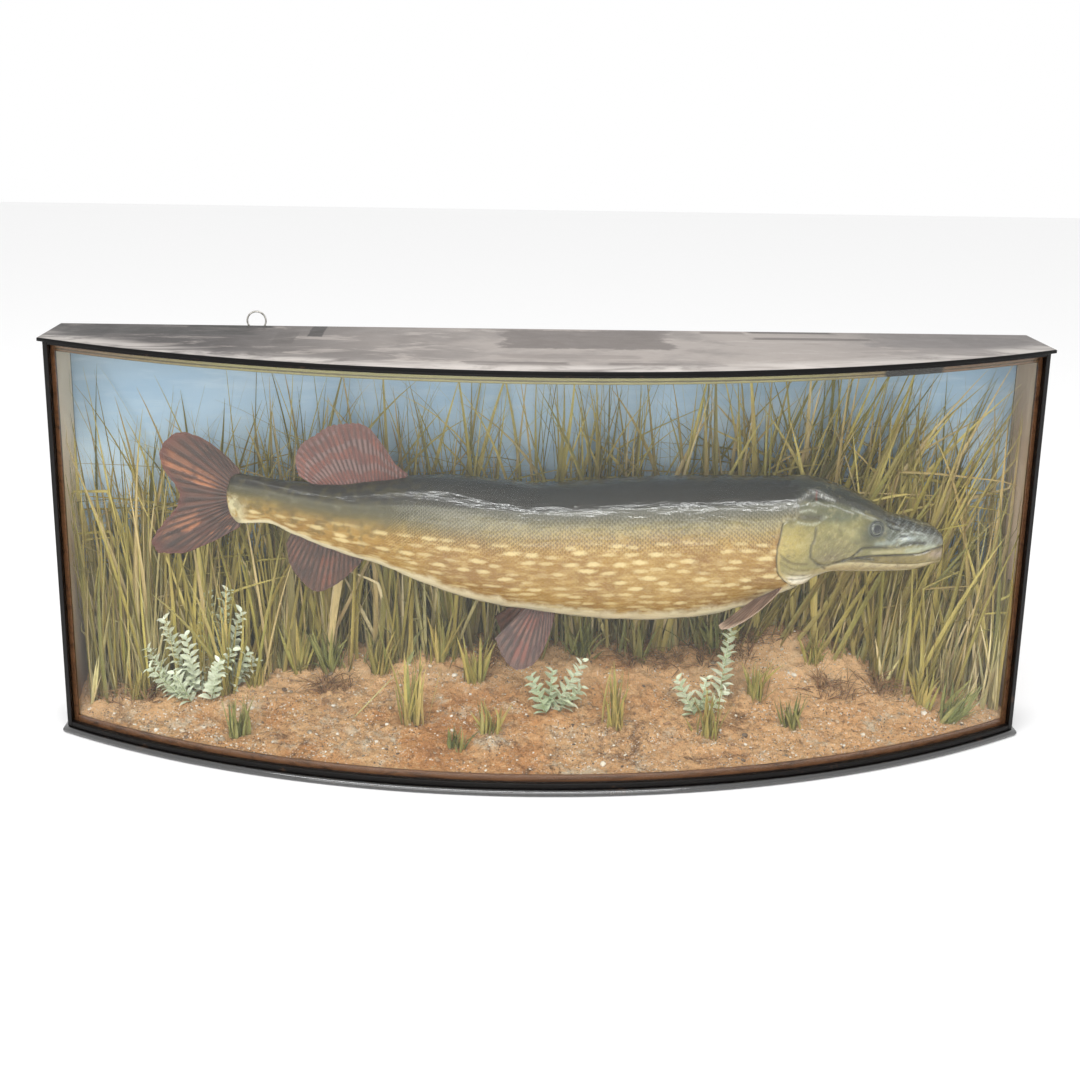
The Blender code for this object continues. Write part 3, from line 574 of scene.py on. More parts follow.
def scale_net(f, flank, drop, level, lift, dash):
    """The dark rim and pale middle of every scale, weaker below and on the dashes."""
    out, side, _ = f.attribute("plate").split()
    rim = out.step(0.66, 0.94).do("MAXIMUM", abs(side).step(0.30, 0.5) * out.step(0.3, 0.6))
    net = (drop.step(-0.020, 0.002, 0.40) + 0.24) * level.step(0.86, 0.78)
    net = net * (dash * -0.7 + 1.0) * level.step(0.03, 0.16) * (f.noise(240) + 0.45)
    middle = out.step(0.78, 0.55) * out.step(0.2, 0.5) * net * 0.35
    return f.layers(
        flank,
        (rim * net, f.mix(lift.step(-0.012, 0.006), "7d5f2c", "3a3521")),
        (middle, f.mix(lift.step(0.008, 0.040), "c4ad70", "9f9b84")))


def head_skin(f, flank, pores):
    """Bare, blotched skin over the head, in the tones that the mesh carries."""
    blotch = f.noise(58, 6, 0.7)
    mottled = f.layers(
        f.attribute("tone", "Color"),
        (blotch.step(0.50, 0.68, 0.42), "3f3a24"),
        (blotch.step(0.47, 0.32, 0.20), "c9bd8c"),
        (f.patch(150, 0.54, 0.72, 0.35), "5a4a26"),
        (pores.step(0.60, 0.76, 0.18), "d9d2b2"))
    f.bump(f.cells(330), 0.0004)
    f.bump(blotch, 0.0010)
    return f.mix(f.attribute("face", "Fac"), flank, mottled)


def skin_finish(name, scaled):
    """Varnished pike skin. The skin and its scales both wear it, so their markings agree."""
    f = Finish(name, Coat_Roughness=0.13, Specular_IOR_Level=0.06 if scaled else 0.2)
    along, drop, level = f.attribute("lie").split()
    place = along - along.do("GREATER_THAN", FAR_FROM) * FAR_SIDE
    f.feed(f.shader.inputs["Coat Weight"], place.step(0.75, 0.65) * 0.75 + 0.25)
    sway = f.noise(34) * 0.016 - 0.008
    lift, height, mottle = drop + sway, level + sway, f.noise(75, 5)
    dash = pale_dashes(f, along, drop, level)
    vein = f.noise(1.0, 4, of=f.join(along * 46, drop * 210))
    finger = f.noise(42, 3, of=f.stretched((1, 1, 0.5)))
    stock = (place + sway * 2.0).step(0.916, 0.938) * height.step(0.66, 0.50)
    flank = f.layers(
        flank_colours(f, place, lift, height, mottle),
        (vein.step(0.48, 0.66) * drop.step(0.012, -0.004, 0.5), "c2a56a"),
        (vein.step(0.50, 0.34) * drop.step(0.012, -0.004, 0.35), "80602b"),
        ((level - finger * 0.16).step(0.065, -0.01), "e4d7b2"),
        (dash, "d3bd88"),
        (stock * mottle.step(0.60, 0.42), "cbc09a"),
        (stock * f.patch(95, 0.50, 0.60, 0.6, detail=6), "7d7350"))
    pores = f.noise(420, 4, 0.7)
    if scaled:
        flank = scale_net(f, flank, drop, level, lift, dash)
    else:
        flank = head_skin(f, flank, pores)
    f.paint(flank, pores * 0.24 + 0.28)
    f.bump(f.noise(110, 5), 0.0006)
    if scaled:  # the varnish lies level over the scales
        level_coat = f.node("ShaderNodeVectorTransform", {"Vector": f.attribute("facing")},
                            vector_type="NORMAL", convert_from="OBJECT", convert_to="WORLD")
        f.feed(f.shader.inputs["Coat Normal"], level_coat)
    f.bump(f.noise(1.0, 4, of=f.join(along * 26, drop * 150, level)), 0.0012)
    f.bump(f.noise(1.0, 3, 0.5, of=f.join(along * 24, drop * 105, level)), 0.0018, 0.8,
           "Coat Normal")
    return f.material


def fin_finish(name, web, tint, dark, pale, margin, glow, bars, bar_share, glow_share,
               glow_from=-9):
    """Fin skin between darker rays, crossed by bars of dark ticks, with warm streaks."""
    f = Finish(name, Coat_Weight=0.35, Coat_Roughness=0.22, Specular_IOR_Level=0.35)
    ray, out, _ = f.attribute("fan").split()
    ridge = abs(ray.do("FRACT") - 0.5).step(0.14, 0.38)
    streak = f.noise(1.0, 5, of=f.join(ray * 0.55, out * 2.2, 3.0))
    warm = f.noise(1.0, 4, of=f.join(ray * 0.30, out * 1.5, 8.0))
    glowing = warm.step(0.50, 0.62, glow_share) * ray.step(glow_from - 1.5, glow_from + 1.5)
    beat = (out * bars + f.noise(26, 5) * 1.9 + ray * 0.012) * FULL_TURN
    band = beat.do("SINE").step(-0.2, 0.6, bar_share) * out.step(0.03, 0.18)
    joint = (out * 190.0).do("SINE").step(0.5, 0.95)
    base = f.layers(
        f.mix(streak.step(0.34, 0.64), web, tint),
        (ridge * (f.noise(28) + 0.05), dark),
        (f.patch(24, 0.48, 0.70, 0.6, detail=6), dark),
        (glowing * ridge.step(1.4, 0.2), glow),
        (band, f.mix(ridge, pale, dark)),
        (out.step(0.84, 1.0, 0.8), margin),
        (ridge * joint * 0.3, pale))
    f.paint(base, streak * 0.2 + 0.34)
    f.bump(ridge * (joint * -0.4 + 1.0), 0.0009, 0.8)
    f.bump(f.noise(320), 0.0004)
    return f.material


def eye_finish():
    """A painted glass eye: black pupil, grey-green iris with a pale ring, dark rim."""
    f = Finish("eye_glass", Roughness=0.06, Coat_Weight=1.0, Coat_Roughness=0.02)
    out, turn, _ = f.attribute("round").split()
    fleck = f.noise(9, 5, of=f.join(turn, out * 900.0))
    iris = f.mix(fleck.step(0.38, 0.66), "56584b", "3a3c32")
    base = f.mix(out.step(0.0058, 0.0066), "3c3e36", iris)
    base = f.mix(out.step(0.0050, 0.0054), "0d0e0f", base)
    base = f.mix(out.step(0.0078, 0.0084), base, "24251f")
    f.feed(f.shader.inputs["Base Color"], base)
    return f.material


# ---------------------------------------------------------------- making pieces

def grid_faces(rows, columns, wrap=False, capped=False):
    """Four-cornered faces over a grid of points, closed round its columns if asked."""
    i, j = np.meshgrid(np.arange(rows - 1), np.arange(columns - (not wrap)), indexing="ij")
    here, after = i * columns + j, i * columns + (j + 1) % columns
    faces = np.stack((here, after, after + columns, here + columns), -1).reshape(-1, 4).tolist()
    if capped:
        last = (rows - 1) * columns
        faces += [list(range(columns)), list(range(last, last + columns))]
    return faces


def add_mesh(name, mesh, finish, slot=None, stands_for=(), angle=40, tidy=True):
    """A mesh that rides with the case, its faces pointing out."""
    if tidy:
        bm = bmesh.new()
        bm.from_mesh(mesh)
        bmesh.ops.recalc_face_normals(bm, faces=bm.faces)
        bm.to_mesh(mesh)
        bm.free()
    mesh.name = name
    mesh.shade_smooth()
    if angle < 180:
        mesh.set_sharp_from_angle(angle=math.radians(angle))
    made = bpy.data.objects.new(name, mesh)
    scene.collection.objects.link(made)
    mesh.materials.clear()
    mesh.materials.append(finish)
    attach(made, "root")
    if stands_for:
        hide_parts(*stands_for)
    return made


def add_piece(name, points, faces, *rest, **more):
    """A piece from its points and faces."""
    mesh = bpy.data.meshes.new(name)
    mesh.from_pydata([tuple(p) for p in np.asarray(points, float).reshape(-1, 3)], [], faces)
    return add_mesh(name, mesh, *rest, **more)


def set_attribute(mesh, name, values, kind=None):
    """Numbers, vectors or colours that the mesh carries at its points."""
    values = np.asarray(values, np.float32)
    kind = kind or ("FLOAT" if values.ndim == 1 else "FLOAT_VECTOR")
    made = mesh.attributes.new(name, kind, "POINT")
    key = {"FLOAT": "value", "FLOAT_VECTOR": "vector", "FLOAT_COLOR": "color"}[kind]
    made.data.foreach_set(key, values.ravel())


def guide_mesh(points, edges=(), **attributes):
    """Loose points or paths that carry attributes: arrays of numbers or of vectors."""
    mesh = bpy.data.meshes.new("guide")
    mesh.from_pydata([tuple(p) for p in points], edges, [])
    for key, values in attributes.items():
        set_attribute(mesh, key, values)
    return mesh


def pattern_object(points, faces, **attributes):
    """A small shape that a tree repeats. It is taken away once the tree has run."""
    mesh = bpy.data.meshes.new("pattern")
    mesh.from_pydata([tuple(p) for p in points], [], faces)
    mesh.shade_smooth()
    for key, values in attributes.items():
        set_attribute(mesh, key, values)
    made = bpy.data.objects.new("pattern", mesh)
    scene.collection.objects.link(made)
    return made


def repeat_pattern(name, pattern, finish, slot, seats, turned, size, angle=60, **attributes):
    """Put a pattern on every seat, as one plain mesh."""
    tree = Tree(name, Shape_to_repeat=pattern, Finish=finish)
    guide = guide_mesh(seats, turned=turned, size=size, **attributes)
    mesh = tree.run(name, tree.repeat("Shape_to_repeat"), guide)
    bpy.data.objects.remove(pattern)
    return add_mesh(name, mesh, finish, slot, angle=angle, tidy=False)


def turned_to(x_axis, y_axis, z_axis):
    """The turn that takes the world's axes to these."""
    return tuple(Matrix((x_axis, y_axis, z_axis)).transposed().to_euler("XYZ"))


def circle(count):
    """Cosines and sines of even turns."""
    a = np.linspace(0, FULL_TURN, count, endpoint=False)
    return np.cos(a), np.sin(a)


# ---------------------------------------------------------------- the case

def bow(offset, x):
    """Depth of the bowed front at x, moved outwards by an offset."""
    return BOW_CENTRE_Y - np.sqrt((BOW_RADIUS + offset)**2 - np.square(x))


def bent_bar(name, section, half_width, *rest, **more):
    """A section of (offset, height) corners carried along the bow."""
    xs = np.linspace(-half_width, half_width, BOW_STEPS + 1)
    points = np.zeros((len(xs), len(section), 3))
    points[:, :, 0] = xs[:, None]
    points[:, :, 1] = bow(np.array(section)[None, :, 0], xs[:, None])
    points[:, :, 2] = np.array(section)[None, :, 1]
    return add_piece(name, points, grid_faces(*points.shape[:2], True, True), *rest, **more)


def eased(low, high, foot, top, ease):
    """A rectangle of offsets and heights with rounded corners."""
    made = []
    for offset, height, quarter in ((high, foot, -1), (high, top, 0), (low, top, 1),
                                    (low, foot, 2)):
        cx = offset + (-ease if offset == high else ease)
        cz = height + (-ease if height == top else ease)
        for a in np.linspace(quarter, quarter + 1, 4) * math.pi / 2:
            made.append((cx + ease * math.cos(a), cz + ease * math.sin(a)))
    return made


def board(name, levels, *rest):
    """A board with the case's outline, through (height, offset) levels."""
    rings = []
    for height, offset in levels:
        half = HALF_WIDTH + offset
        xs = np.linspace(-half, half, BOW_STEPS + 1)
        ring = [(x, y, height) for x, y in zip(xs, bow(offset, xs))]
        ring += [(half, y, height) for y in np.linspace(bow(offset, half), BACK_Y, 8)[1:]]
        ring += [(-half, y, height) for y in np.linspace(BACK_Y, bow(offset, half), 8)[:-1]]
        rings.append(ring)
    faces = grid_faces(len(rings), len(rings[0]), True, True)
    return add_piece(name, rings, faces, *rest, angle=50)


def post(name, outline, foot, top, ease, *rest):
    """An upright of any outline, its edges eased."""
    points = [(x, y, z) for z in (foot, top) for x, y in outline]
    made = add_piece(name, points, grid_faces(2, len(outline), True, True), *rest)
    change = made.modifiers.new("eased_edges", "BEVEL")
    change.width, change.segments, change.limit_method = ease, 3, "ANGLE"
    change.angle_limit = math.radians(40)
    return made


def other_faces(made, finish, chosen):
    """Give some of a piece's faces another finish."""
    made.data.materials.append(finish)
    for face in made.data.polygons:
        if chosen(face.normal):
            face.material_index = 1


def rectangle(x0, x1, y0, y1):
    """Its corners, in order round it."""
    return ((x0, y0), (x1, y0), (x1, y1), (x0, y1))


def make_boards():
    """The round-nosed foot board, and the thin lid with a painted underside."""
    radius = FOOT_THICKNESS / 2
    levels = [(radius + radius * math.sin(a), LIP - radius + radius * math.cos(a))
              for a in np.linspace(-math.pi / 2, math.pi / 2, 13)]
    board("foot_board", levels, ebonised_finish("polished_nosing", 0.8), "ebonised_wood",
          ["base_board"])
    ease, under = 0.0012, CASE_HEIGHT - LID_THICKNESS
    levels = [(under, LIP - 0.0004), (under + 0.0004, LIP)]
    levels += [(CASE_HEIGHT - ease + ease * math.sin(a), LIP - ease + ease * math.cos(a))
               for a in np.linspace(0, math.pi / 2, 5)]
    lid = board("lid", levels, lid_finish(), "lid_paint", ["lid_board"])
    other_faces(lid, sky_finish("ceiling_paint"), lambda n: n.z < -0.9)


def make_front(ebonised, brown):
    """What follows the bow: two rails, the pane, and the slips below and above it."""
    for name, node, foot, top, ease in (
            ("rail_low", "bottom_rail", FOOT, FOOT + 0.0072, 0.0012),
            ("rail_high", "top_rail", TOP - 0.0038, TOP, 0.0009)):
        bent_bar(name, eased(-RAIL_DEPTH, 0.0, foot, top, ease), OPENING, ebonised,
                 "ebonised_wood", [node])
    inside = PANE_OUTSIDE - PANE
    corners = [(PANE_OUTSIDE, FOOT), (PANE_OUTSIDE, TOP), (inside, TOP), (inside, FOOT)]
    pane = bent_bar("pane", corners, OPENING, pane_finish(), "glass", ["front_glass"], angle=30)
    pane.visible_shadow = False
    top, foot = FOOT + LOW_SLIP, TOP - HIGH_SLIP
    chamfered = ((0, FOOT), (0, top - 0.0005), (0.0006, top), (0.0030, top),
                 (SLIP_DEPTH, top - 0.0036), (SLIP_DEPTH, FOOT))
    moulded = ((0, TOP), (0, foot + 0.0066), (0.0007, foot + 0.0058), (0.0014, foot + 0.0064),
               (0.0022, foot + 0.0050), (0.0022, foot + 0.0012), (0.0030, foot),
               (SLIP_DEPTH, foot), (SLIP_DEPTH, TOP))
    for name, node, corners, finish in (("bead_low", "slip_bottom", chamfered, brown),
                                        ("bead_high", "slip_top", moulded, gilt_finish())):
        bent_bar(name, [(SLIP_OUTSIDE - inward, height) for inward, height in corners],
                 SLIP_SPAN, finish, "brown_wood", [node], angle=40 if finish is brown else 25)


def make_side(name, side, ebonised, brown, cream):
    """One side's corner post, upright slip and wall. side is -1 on the left, 1 on the right."""
    inner = HALF_WIDTH - POST_WIDTH
    outline = [(side * inner, bow(0, inner)), (side * HALF_WIDTH, bow(0, HALF_WIDTH)),
               (side * HALF_WIDTH, CHORD_Y + POST_DEPTH), (side * inner, CHORD_Y + POST_DEPTH)]
    post("corner_post_" + name, outline, FOOT, TOP, 0.0012, ebonised, "ebonised_wood",
         ["post_" + name])
    outline = [(side * x, bow(offset, x)) for x, offset in (
        (OPENING - SLIP_WIDTH, SLIP_OUTSIDE), (OPENING, SLIP_OUTSIDE), (OPENING, SLIP_INSIDE),
        (OPENING - SLIP_WIDTH, SLIP_INSIDE))]
    post("bead_" + name, outline, FOOT, TOP, 0.0008, brown, "brown_wood", ["slip_" + name])
    outline = rectangle(side * (HALF_WIDTH - WALL), side * HALF_WIDTH,
                        CHORD_Y + POST_DEPTH + GAP, BACK_FRONT_Y - GAP)
    wall = post("cheek_" + name, outline, FOOT, TOP, 0.0006, cream, "cream_paint",
                ["side_wall_" + name])
    other_faces(wall, ebonised, lambda n: n.x * side > -0.5)


def make_case():
    """The case, with the painted sky on the inner face of its back."""
    ebonised = ebonised_finish("ebonised_wood", 0.05)
    brown = wood_finish("brown_bead", "3a2417", "6e4a30", rough=0.45)
    cream = cream_finish()
    make_boards()
    make_front(ebonised, brown)
    for name, side in (("left", -1), ("right", 1)):
        make_side(name, side, ebonised, brown, cream)
    back = post("painted_back", rectangle(-HALF_WIDTH, HALF_WIDTH, BACK_FRONT_Y, BACK_Y), FOOT,
                TOP, 0.0006, sky_finish("sky_paint"), "sky_paint", ["back_board"])
    other_faces(back, boarding_finish(), lambda n: n.y > -0.5)


def make_hangers():
    """Plates, knuckles and rings on the back, and slotted screws in the plates and boards."""
    brass = metal_finish("old_brass", "b0a287", "5d5342")
    steel = metal_finish("ring_wire", "b9b6b0", "6d6963")
    pin, back = CASE_HEIGHT - 0.0065, BACK_Y + GAP
    plate, out, ring, wire, half_knuckle = 0.0016, 0.0034, 0.0125, 0.00125, 0.003
    seats = []
    for name, x, up in (("left", -0.397, 1), ("right", 0.397, -1)):
        post("plate_" + name, rectangle(x - 0.011, x + 0.011, back, back + plate),
             pin - 0.034, pin - 0.0042, 0.0005, brass, "old_brass", ["hanger_plate_" + name])
        c, s = circle(20)
        rings = [np.stack((np.full(20, x + shift), back + out + radius * c, pin + radius * s), 1)
                 for shift, radius in ((-half_knuckle, 0.0021), (-half_knuckle, out),
                                       (half_knuckle, out), (half_knuckle, 0.0021),
                                       (-half_knuckle, 0.0021))]
        add_piece("knuckle_" + name, rings, grid_faces(5, 20, True), brass, "old_brass")
        middle = np.array((x, back + out, pin + ring * up))
        c, s = circle(12)
        rings = []
        for a in np.linspace(0, FULL_TURN, 73):
            spoke = np.array((math.cos(a), 0.0, math.sin(a)))
            section = c[:, None] * spoke + s[:, None] * (0, 1, 0)
            rings.append(middle + ring * spoke + wire * section)
        add_piece("ring_" + name, rings, grid_faces(73, 12, True), steel, "old_brass",
                  ["hanger_ring_" + name], angle=180)
        seats += [(x, back + plate, pin - drop) for drop in (0.0115, 0.027)]
    edge = 0.009
    seats += [(x, BACK_Y, z) for z in (FOOT + edge, TOP - edge)
              for x in np.linspace(edge - HALF_WIDTH, HALF_WIDTH - edge, 9)]
    seats += [(x, BACK_Y, z) for x in (edge - HALF_WIDTH, HALF_WIDTH - edge)
              for z in (0.13, 0.22, 0.31, 0.40)]
    profile = ((0.0012, 0.0007), (0.0026, 0.0004), (0.0030, 0.0001), (0.0030, 0.0))
    c, s = circle(24)
    slot = 0.0005
    points = [(radius * a, rise - (slot if abs(b + 0.3 * a) < 0.2 else 0.0), radius * b)
              for radius, rise in profile for a, b in zip(c, s)]
    screw = pattern_object(points, grid_faces(len(profile), 24, True, True))
    repeat_pattern("screws", screw, steel, "old_brass", seats, np.zeros((len(seats), 3)),
                   np.ones((len(seats), 3)))


# ---------------------------------------------------------------- the fish

BODY = np.array((  # distance from the snout, height of the back, of the belly, half width
    (0.000, 0.298, 0.261, 0.012), (0.006, 0.303, 0.261, 0.019), (0.015, 0.310, 0.259, 0.0245),
    (0.030, 0.3155, 0.254, 0.0275), (0.050, 0.322, 0.2495, 0.0285), (0.072, 0.327, 0.2485, 0.030),
    (0.095, 0.3415, 0.248, 0.0345), (0.120, 0.3545, 0.248, 0.0405), (0.145, 0.3655, 0.2485, 0.0465),
    (0.170, 0.3735, 0.243, 0.052), (0.195, 0.3765, 0.228, 0.056), (0.225, 0.375, 0.215, 0.059),
    (0.270, 0.3745, 0.198, 0.062), (0.330, 0.374, 0.184, 0.064), (0.400, 0.3725, 0.179, 0.0645),
    (0.470, 0.367, 0.182, 0.063), (0.540, 0.3625, 0.190, 0.059), (0.610, 0.369, 0.201, 0.053),
    (0.680, 0.373, 0.2215, 0.0445), (0.750, 0.365, 0.252, 0.035), (0.810, 0.359, 0.2705, 0.0265),
    (0.860, 0.363, 0.290, 0.020), (0.900, 0.368, 0.306, 0.015), (0.950, 0.3765, 0.305, 0.010)))
ROW_LINE = np.array(((0.0, 0.292), (0.15, 0.296), (0.257, 0.298), (0.335, 0.297), (0.464, 0.293),
                     (0.591, 0.289), (0.720, 0.298), (0.851, 0.315), (0.950, 0.329)))
EYE = (0.0992, 0.3142)  # this place, and the lines below, are on the fish's side
GILL_EDGE = ((0.2280, 0.3270), (0.2302, 0.3170), (0.2322, 0.3045), (0.2349, 0.2925),
             (0.2347, 0.2777), (0.2314, 0.2594), (0.2233, 0.2493), (0.2096, 0.2371),
             (0.1900, 0.2320), (0.1650, 0.2380))
MOUTH = ((-0.01, 0.2865), (0.011, 0.2860), (0.0225, 0.2835), (0.0377, 0.2785), (0.0547, 0.2768),
         (0.0806, 0.2763), (0.1030, 0.2764), (0.1240, 0.2738))
LIP_FOLD = ((0.1411, 0.2709), (0.1338, 0.2745), (0.1243, 0.2824), (0.1170, 0.2885),
            (0.1050, 0.2893), (0.0925, 0.2890), (0.0780, 0.2866), (0.0677, 0.2879),
            (0.0610, 0.2900), (0.0475, 0.2929), (0.0330, 0.2930))
MOUTH_CORNER = ((0.1411, 0.2705), (0.1267, 0.2738), (0.1133, 0.2726), (0.1007, 0.2712))
JAW_FOLD = ((0.1680, 0.2620), (0.1500, 0.2672), (0.1282, 0.2690), (0.0789, 0.2642),
            (0.0442, 0.2632), (0.0239, 0.2658))
CHEEK_FOLD = ((0.1411, 0.2709), (0.1520, 0.2690), (0.1640, 0.2660), (0.1750, 0.2676))
PREOPERCLE = ((0.1835, 0.3200), (0.1841, 0.3061), (0.1884, 0.2940), (0.1882, 0.2816),
              (0.1841, 0.2758), (0.1759, 0.2683), (0.1652, 0.2597))
RAY_FOLDS = (((0.2325, 0.2885), (0.2203, 0.2774), (0.2070, 0.2715), (0.1913, 0.2702)),
             ((0.2290, 0.2735), (0.2132, 0.2653), (0.1997, 0.2607), (0.1880, 0.2604)),
             ((0.2250, 0.2620), (0.2121, 0.2556), (0.1985, 0.2530), (0.1870, 0.2524)),
             ((0.2180, 0.2495), (0.2037, 0.2472), (0.1929, 0.2474), (0.1820, 0.2500)))
SNOUT_RIDGE = ((0.0980, 0.2935), (0.0787, 0.2948), (0.0649, 0.2965), (0.0531, 0.3005),
               (0.0323, 0.3000), (0.0242, 0.2945))
CROWN_RIDGE = ((0.2375, 0.3519), (0.2250, 0.3527), (0.2186, 0.3491), (0.2101, 0.3544),
               (0.2025, 0.3566), (0.1955, 0.3609), (0.1891, 0.3647), (0.1833, 0.3642),
               (0.1734, 0.3606), (0.1659, 0.3575), (0.1592, 0.3535))
CROWN_RIDGE_LOW = ((0.1830, 0.3530), (0.1709, 0.3481), (0.1622, 0.3478), (0.1534, 0.3450),
                   (0.1401, 0.3394), (0.1330, 0.3358))
BROW = ((0.1337, 0.3420), (0.1239, 0.3374), (0.1158, 0.3320), (0.1103, 0.3297), (0.1030, 0.3272),
        (0.0970, 0.3235))
NOSTRILS = (((0.0832, 0.3176), (0.0750, 0.3128), (0.0653, 0.3105)),
            ((0.0643, 0.3024), (0.0566, 0.3027)), ((0.0828, 0.3238), (0.0701, 0.3188)))
# raised ridges by the nostrils, which also carry painted glints
NOSE_GLINT_RIDGES = (((0.0738, 0.3160), (0.0626, 0.3125)), ((0.0627, 0.3057), (0.0560, 0.3058)),
              ((0.050, 0.3085), (0.034, 0.3055)), ((0.046, 0.3135), (0.030, 0.3095)))
HOLLOW = ((0.2047, 0.3346), (0.1913, 0.3331), (0.1780, 0.3328))
HOLLOW_RIMS = (((0.2106, 0.3362), (0.2006, 0.3420), (0.1914, 0.3430), (0.1846, 0.3412)),
               ((0.2071, 0.3276), (0.1978, 0.3257), (0.1877, 0.3247), (0.1792, 0.3276)),
               ((0.1702, 0.3342), (0.1698, 0.3338)))
CHEEK_SHINE = ((0.1593, 0.3253), (0.1502, 0.3198), (0.1393, 0.3141), (0.1267, 0.3107))
PORES = ((0.024, 0.2700), (0.040, 0.2675), (0.057, 0.2670), (0.075, 0.2675), (0.095, 0.2695),
         (0.116, 0.2710), (0.150, 0.2745), (0.160, 0.2790), (0.168, 0.2860))
FOLDS = (  # lines, how far the skin stands out along them, and how wide
    ((MOUTH,), -0.0028, 0.0013), ((LIP_FOLD,), -0.0013, 0.0015), ((JAW_FOLD,), -0.0007, 0.0013),
    ((MOUTH_CORNER,), -0.0016, 0.0026), ((CHEEK_FOLD,), -0.0010, 0.0017),
    ((PREOPERCLE,), -0.0010, 0.0016), ((SNOUT_RIDGE,), 0.0012, 0.0034),
    ((BROW,), 0.0013, 0.0022), ((HOLLOW,), -0.0026, 0.0032), (RAY_FOLDS, -0.0008, 0.0012),
    (NOSTRILS, -0.0015, 0.0014), (NOSE_GLINT_RIDGES, 0.0009, 0.0015), (HOLLOW_RIMS, 0.0010, 0.0019))


def through(places, values, at):
    """A smooth curve through values, with no overshoot between them."""
    step = np.diff(places)
    slope = np.diff(values) / step
    both = slope[:-1] * slope[1:]
    with np.errstate(divide="ignore", invalid="ignore"):
        inner = np.where(both > 0, 2 * both / (slope[:-1] + slope[1:]), 0.0)
    tangent = np.concatenate(([slope[0]], inner, [slope[-1]]))
    i = np.clip(np.searchsorted(places, at) - 1, 0, len(places) - 2)
    t = (at - places[i]) / step[i]
    return ((1 + 2 * t) * (1 - t)**2 * values[i] + t * (1 - t)**2 * step[i] * tangent[i]
            + t * t * (3 - 2 * t) * values[i + 1] + t * t * (t - 1) * step[i] * tangent[i + 1])


def body_at(distance):
    """Heights of the back and belly, and the half width."""
    return [through(BODY[:, 0], BODY[:, k], distance) for k in (1, 2, 3)]


def on_body(distance, turn):
    """Points on the outside of the body, as the solids have it."""
    distance, turn = np.broadcast_arrays(np.asarray(distance, float), np.asarray(turn, float))
    back, belly, half = body_at(distance)
    nose = np.sqrt(1 - (1 - np.minimum(1, distance / 0.006))**2)
    past = (distance - STOCK_END + TAIL_ROUND) / (TAIL_ROUND + 0.0005)
    rear = np.sqrt(1 - np.clip(past, 0, 1)**2)
    tall = (back - belly) / 2 * (0.35 + 0.65 * nose) * rear
    wide = half * nose * (0.3 + 0.7 * rear)
    power = 2 / (2.9 - 0.6 * np.minimum(1, distance / HEAD_END))
    c, k = np.cos(turn), np.sin(turn)
    y = wide * np.sign(c) * np.abs(c)**power
    z = tall * np.sign(k) * np.abs(k)**power
    return np.stack((SNOUT_X - distance, FISH_Y + y, (back + belly) / 2 + z), -1)


def smooth_path(points, count):
    """A smooth line through points, cut into even lengths."""
    points = np.array(points, float)
    spots = np.concatenate(([0], np.cumsum(np.linalg.norm(np.diff(points, axis=0), axis=1))))
    at = np.linspace(0, spots[-1], count)
    return np.stack([through(spots, points[:, k], at) for k in range(points.shape[1])], -1)


def away(s, z, line):
    """How far each place is from a line on the fish's side."""
    best = np.full(np.shape(s), 1.0)
    line = smooth_path(line, 6 * len(line))
    for (s0, z0), (s1, z1) in zip(line, line[1:]):
        long = (s1 - s0)**2 + (z1 - z0)**2
        t = np.clip(((s - s0) * (s1 - s0) + (z - z0) * (z1 - z0)) / long, 0, 1)
        best = np.minimum(best, np.hypot(s - s0 - t * (s1 - s0), z - z0 - t * (z1 - z0)))
    return best


def near(s, z, line, width):
    """1 on a line on the fish's side, fading to 0 away from it."""
    return np.exp(-(away(s, z, line) / width)**2)


def blob(s, z, centre, size):
    """1 at a centre on the fish's side, fading to 0 round it."""
    return np.exp(-((s - centre[0]) / size[0])**2 - ((z - centre[1]) / size[1])**2)


def step_up(value, low, high):
    """A smooth step from 0 to 1, or down where low is above high."""
    t = np.clip((value - low) / (high - low), 0, 1)
    return t * t * (3 - 2 * t)


def gill_edge_at(z):
    """How far back the gill cover reaches at each height."""
    edge = np.array(GILL_EDGE)[-3::-1]
    return np.interp(z, edge[:, 1], edge[:, 0], left=0.150, right=0.226)


def face_share(s, z):
    """1 on the head, 0 on the scaled body."""
    low = step_up(s - gill_edge_at(z), 0.0015, -0.0015)
    high = step_up(s, 0.226, 0.190)
    return high + (low - high) * step_up(z, 0.336, 0.326)


def unevenness(s, z, scale, seed):
    """Smooth unevenness from a few waves."""
    value = 0
    for k in range(5):
        a = seed * 1.7 + k * 2.3
        value = value + math.sin(a) * np.sin(scale * (1 + 0.6 * k) * (
            s * math.cos(a * 2.1) + z * math.sin(a * 2.1)) + a)
    return value / 2.5


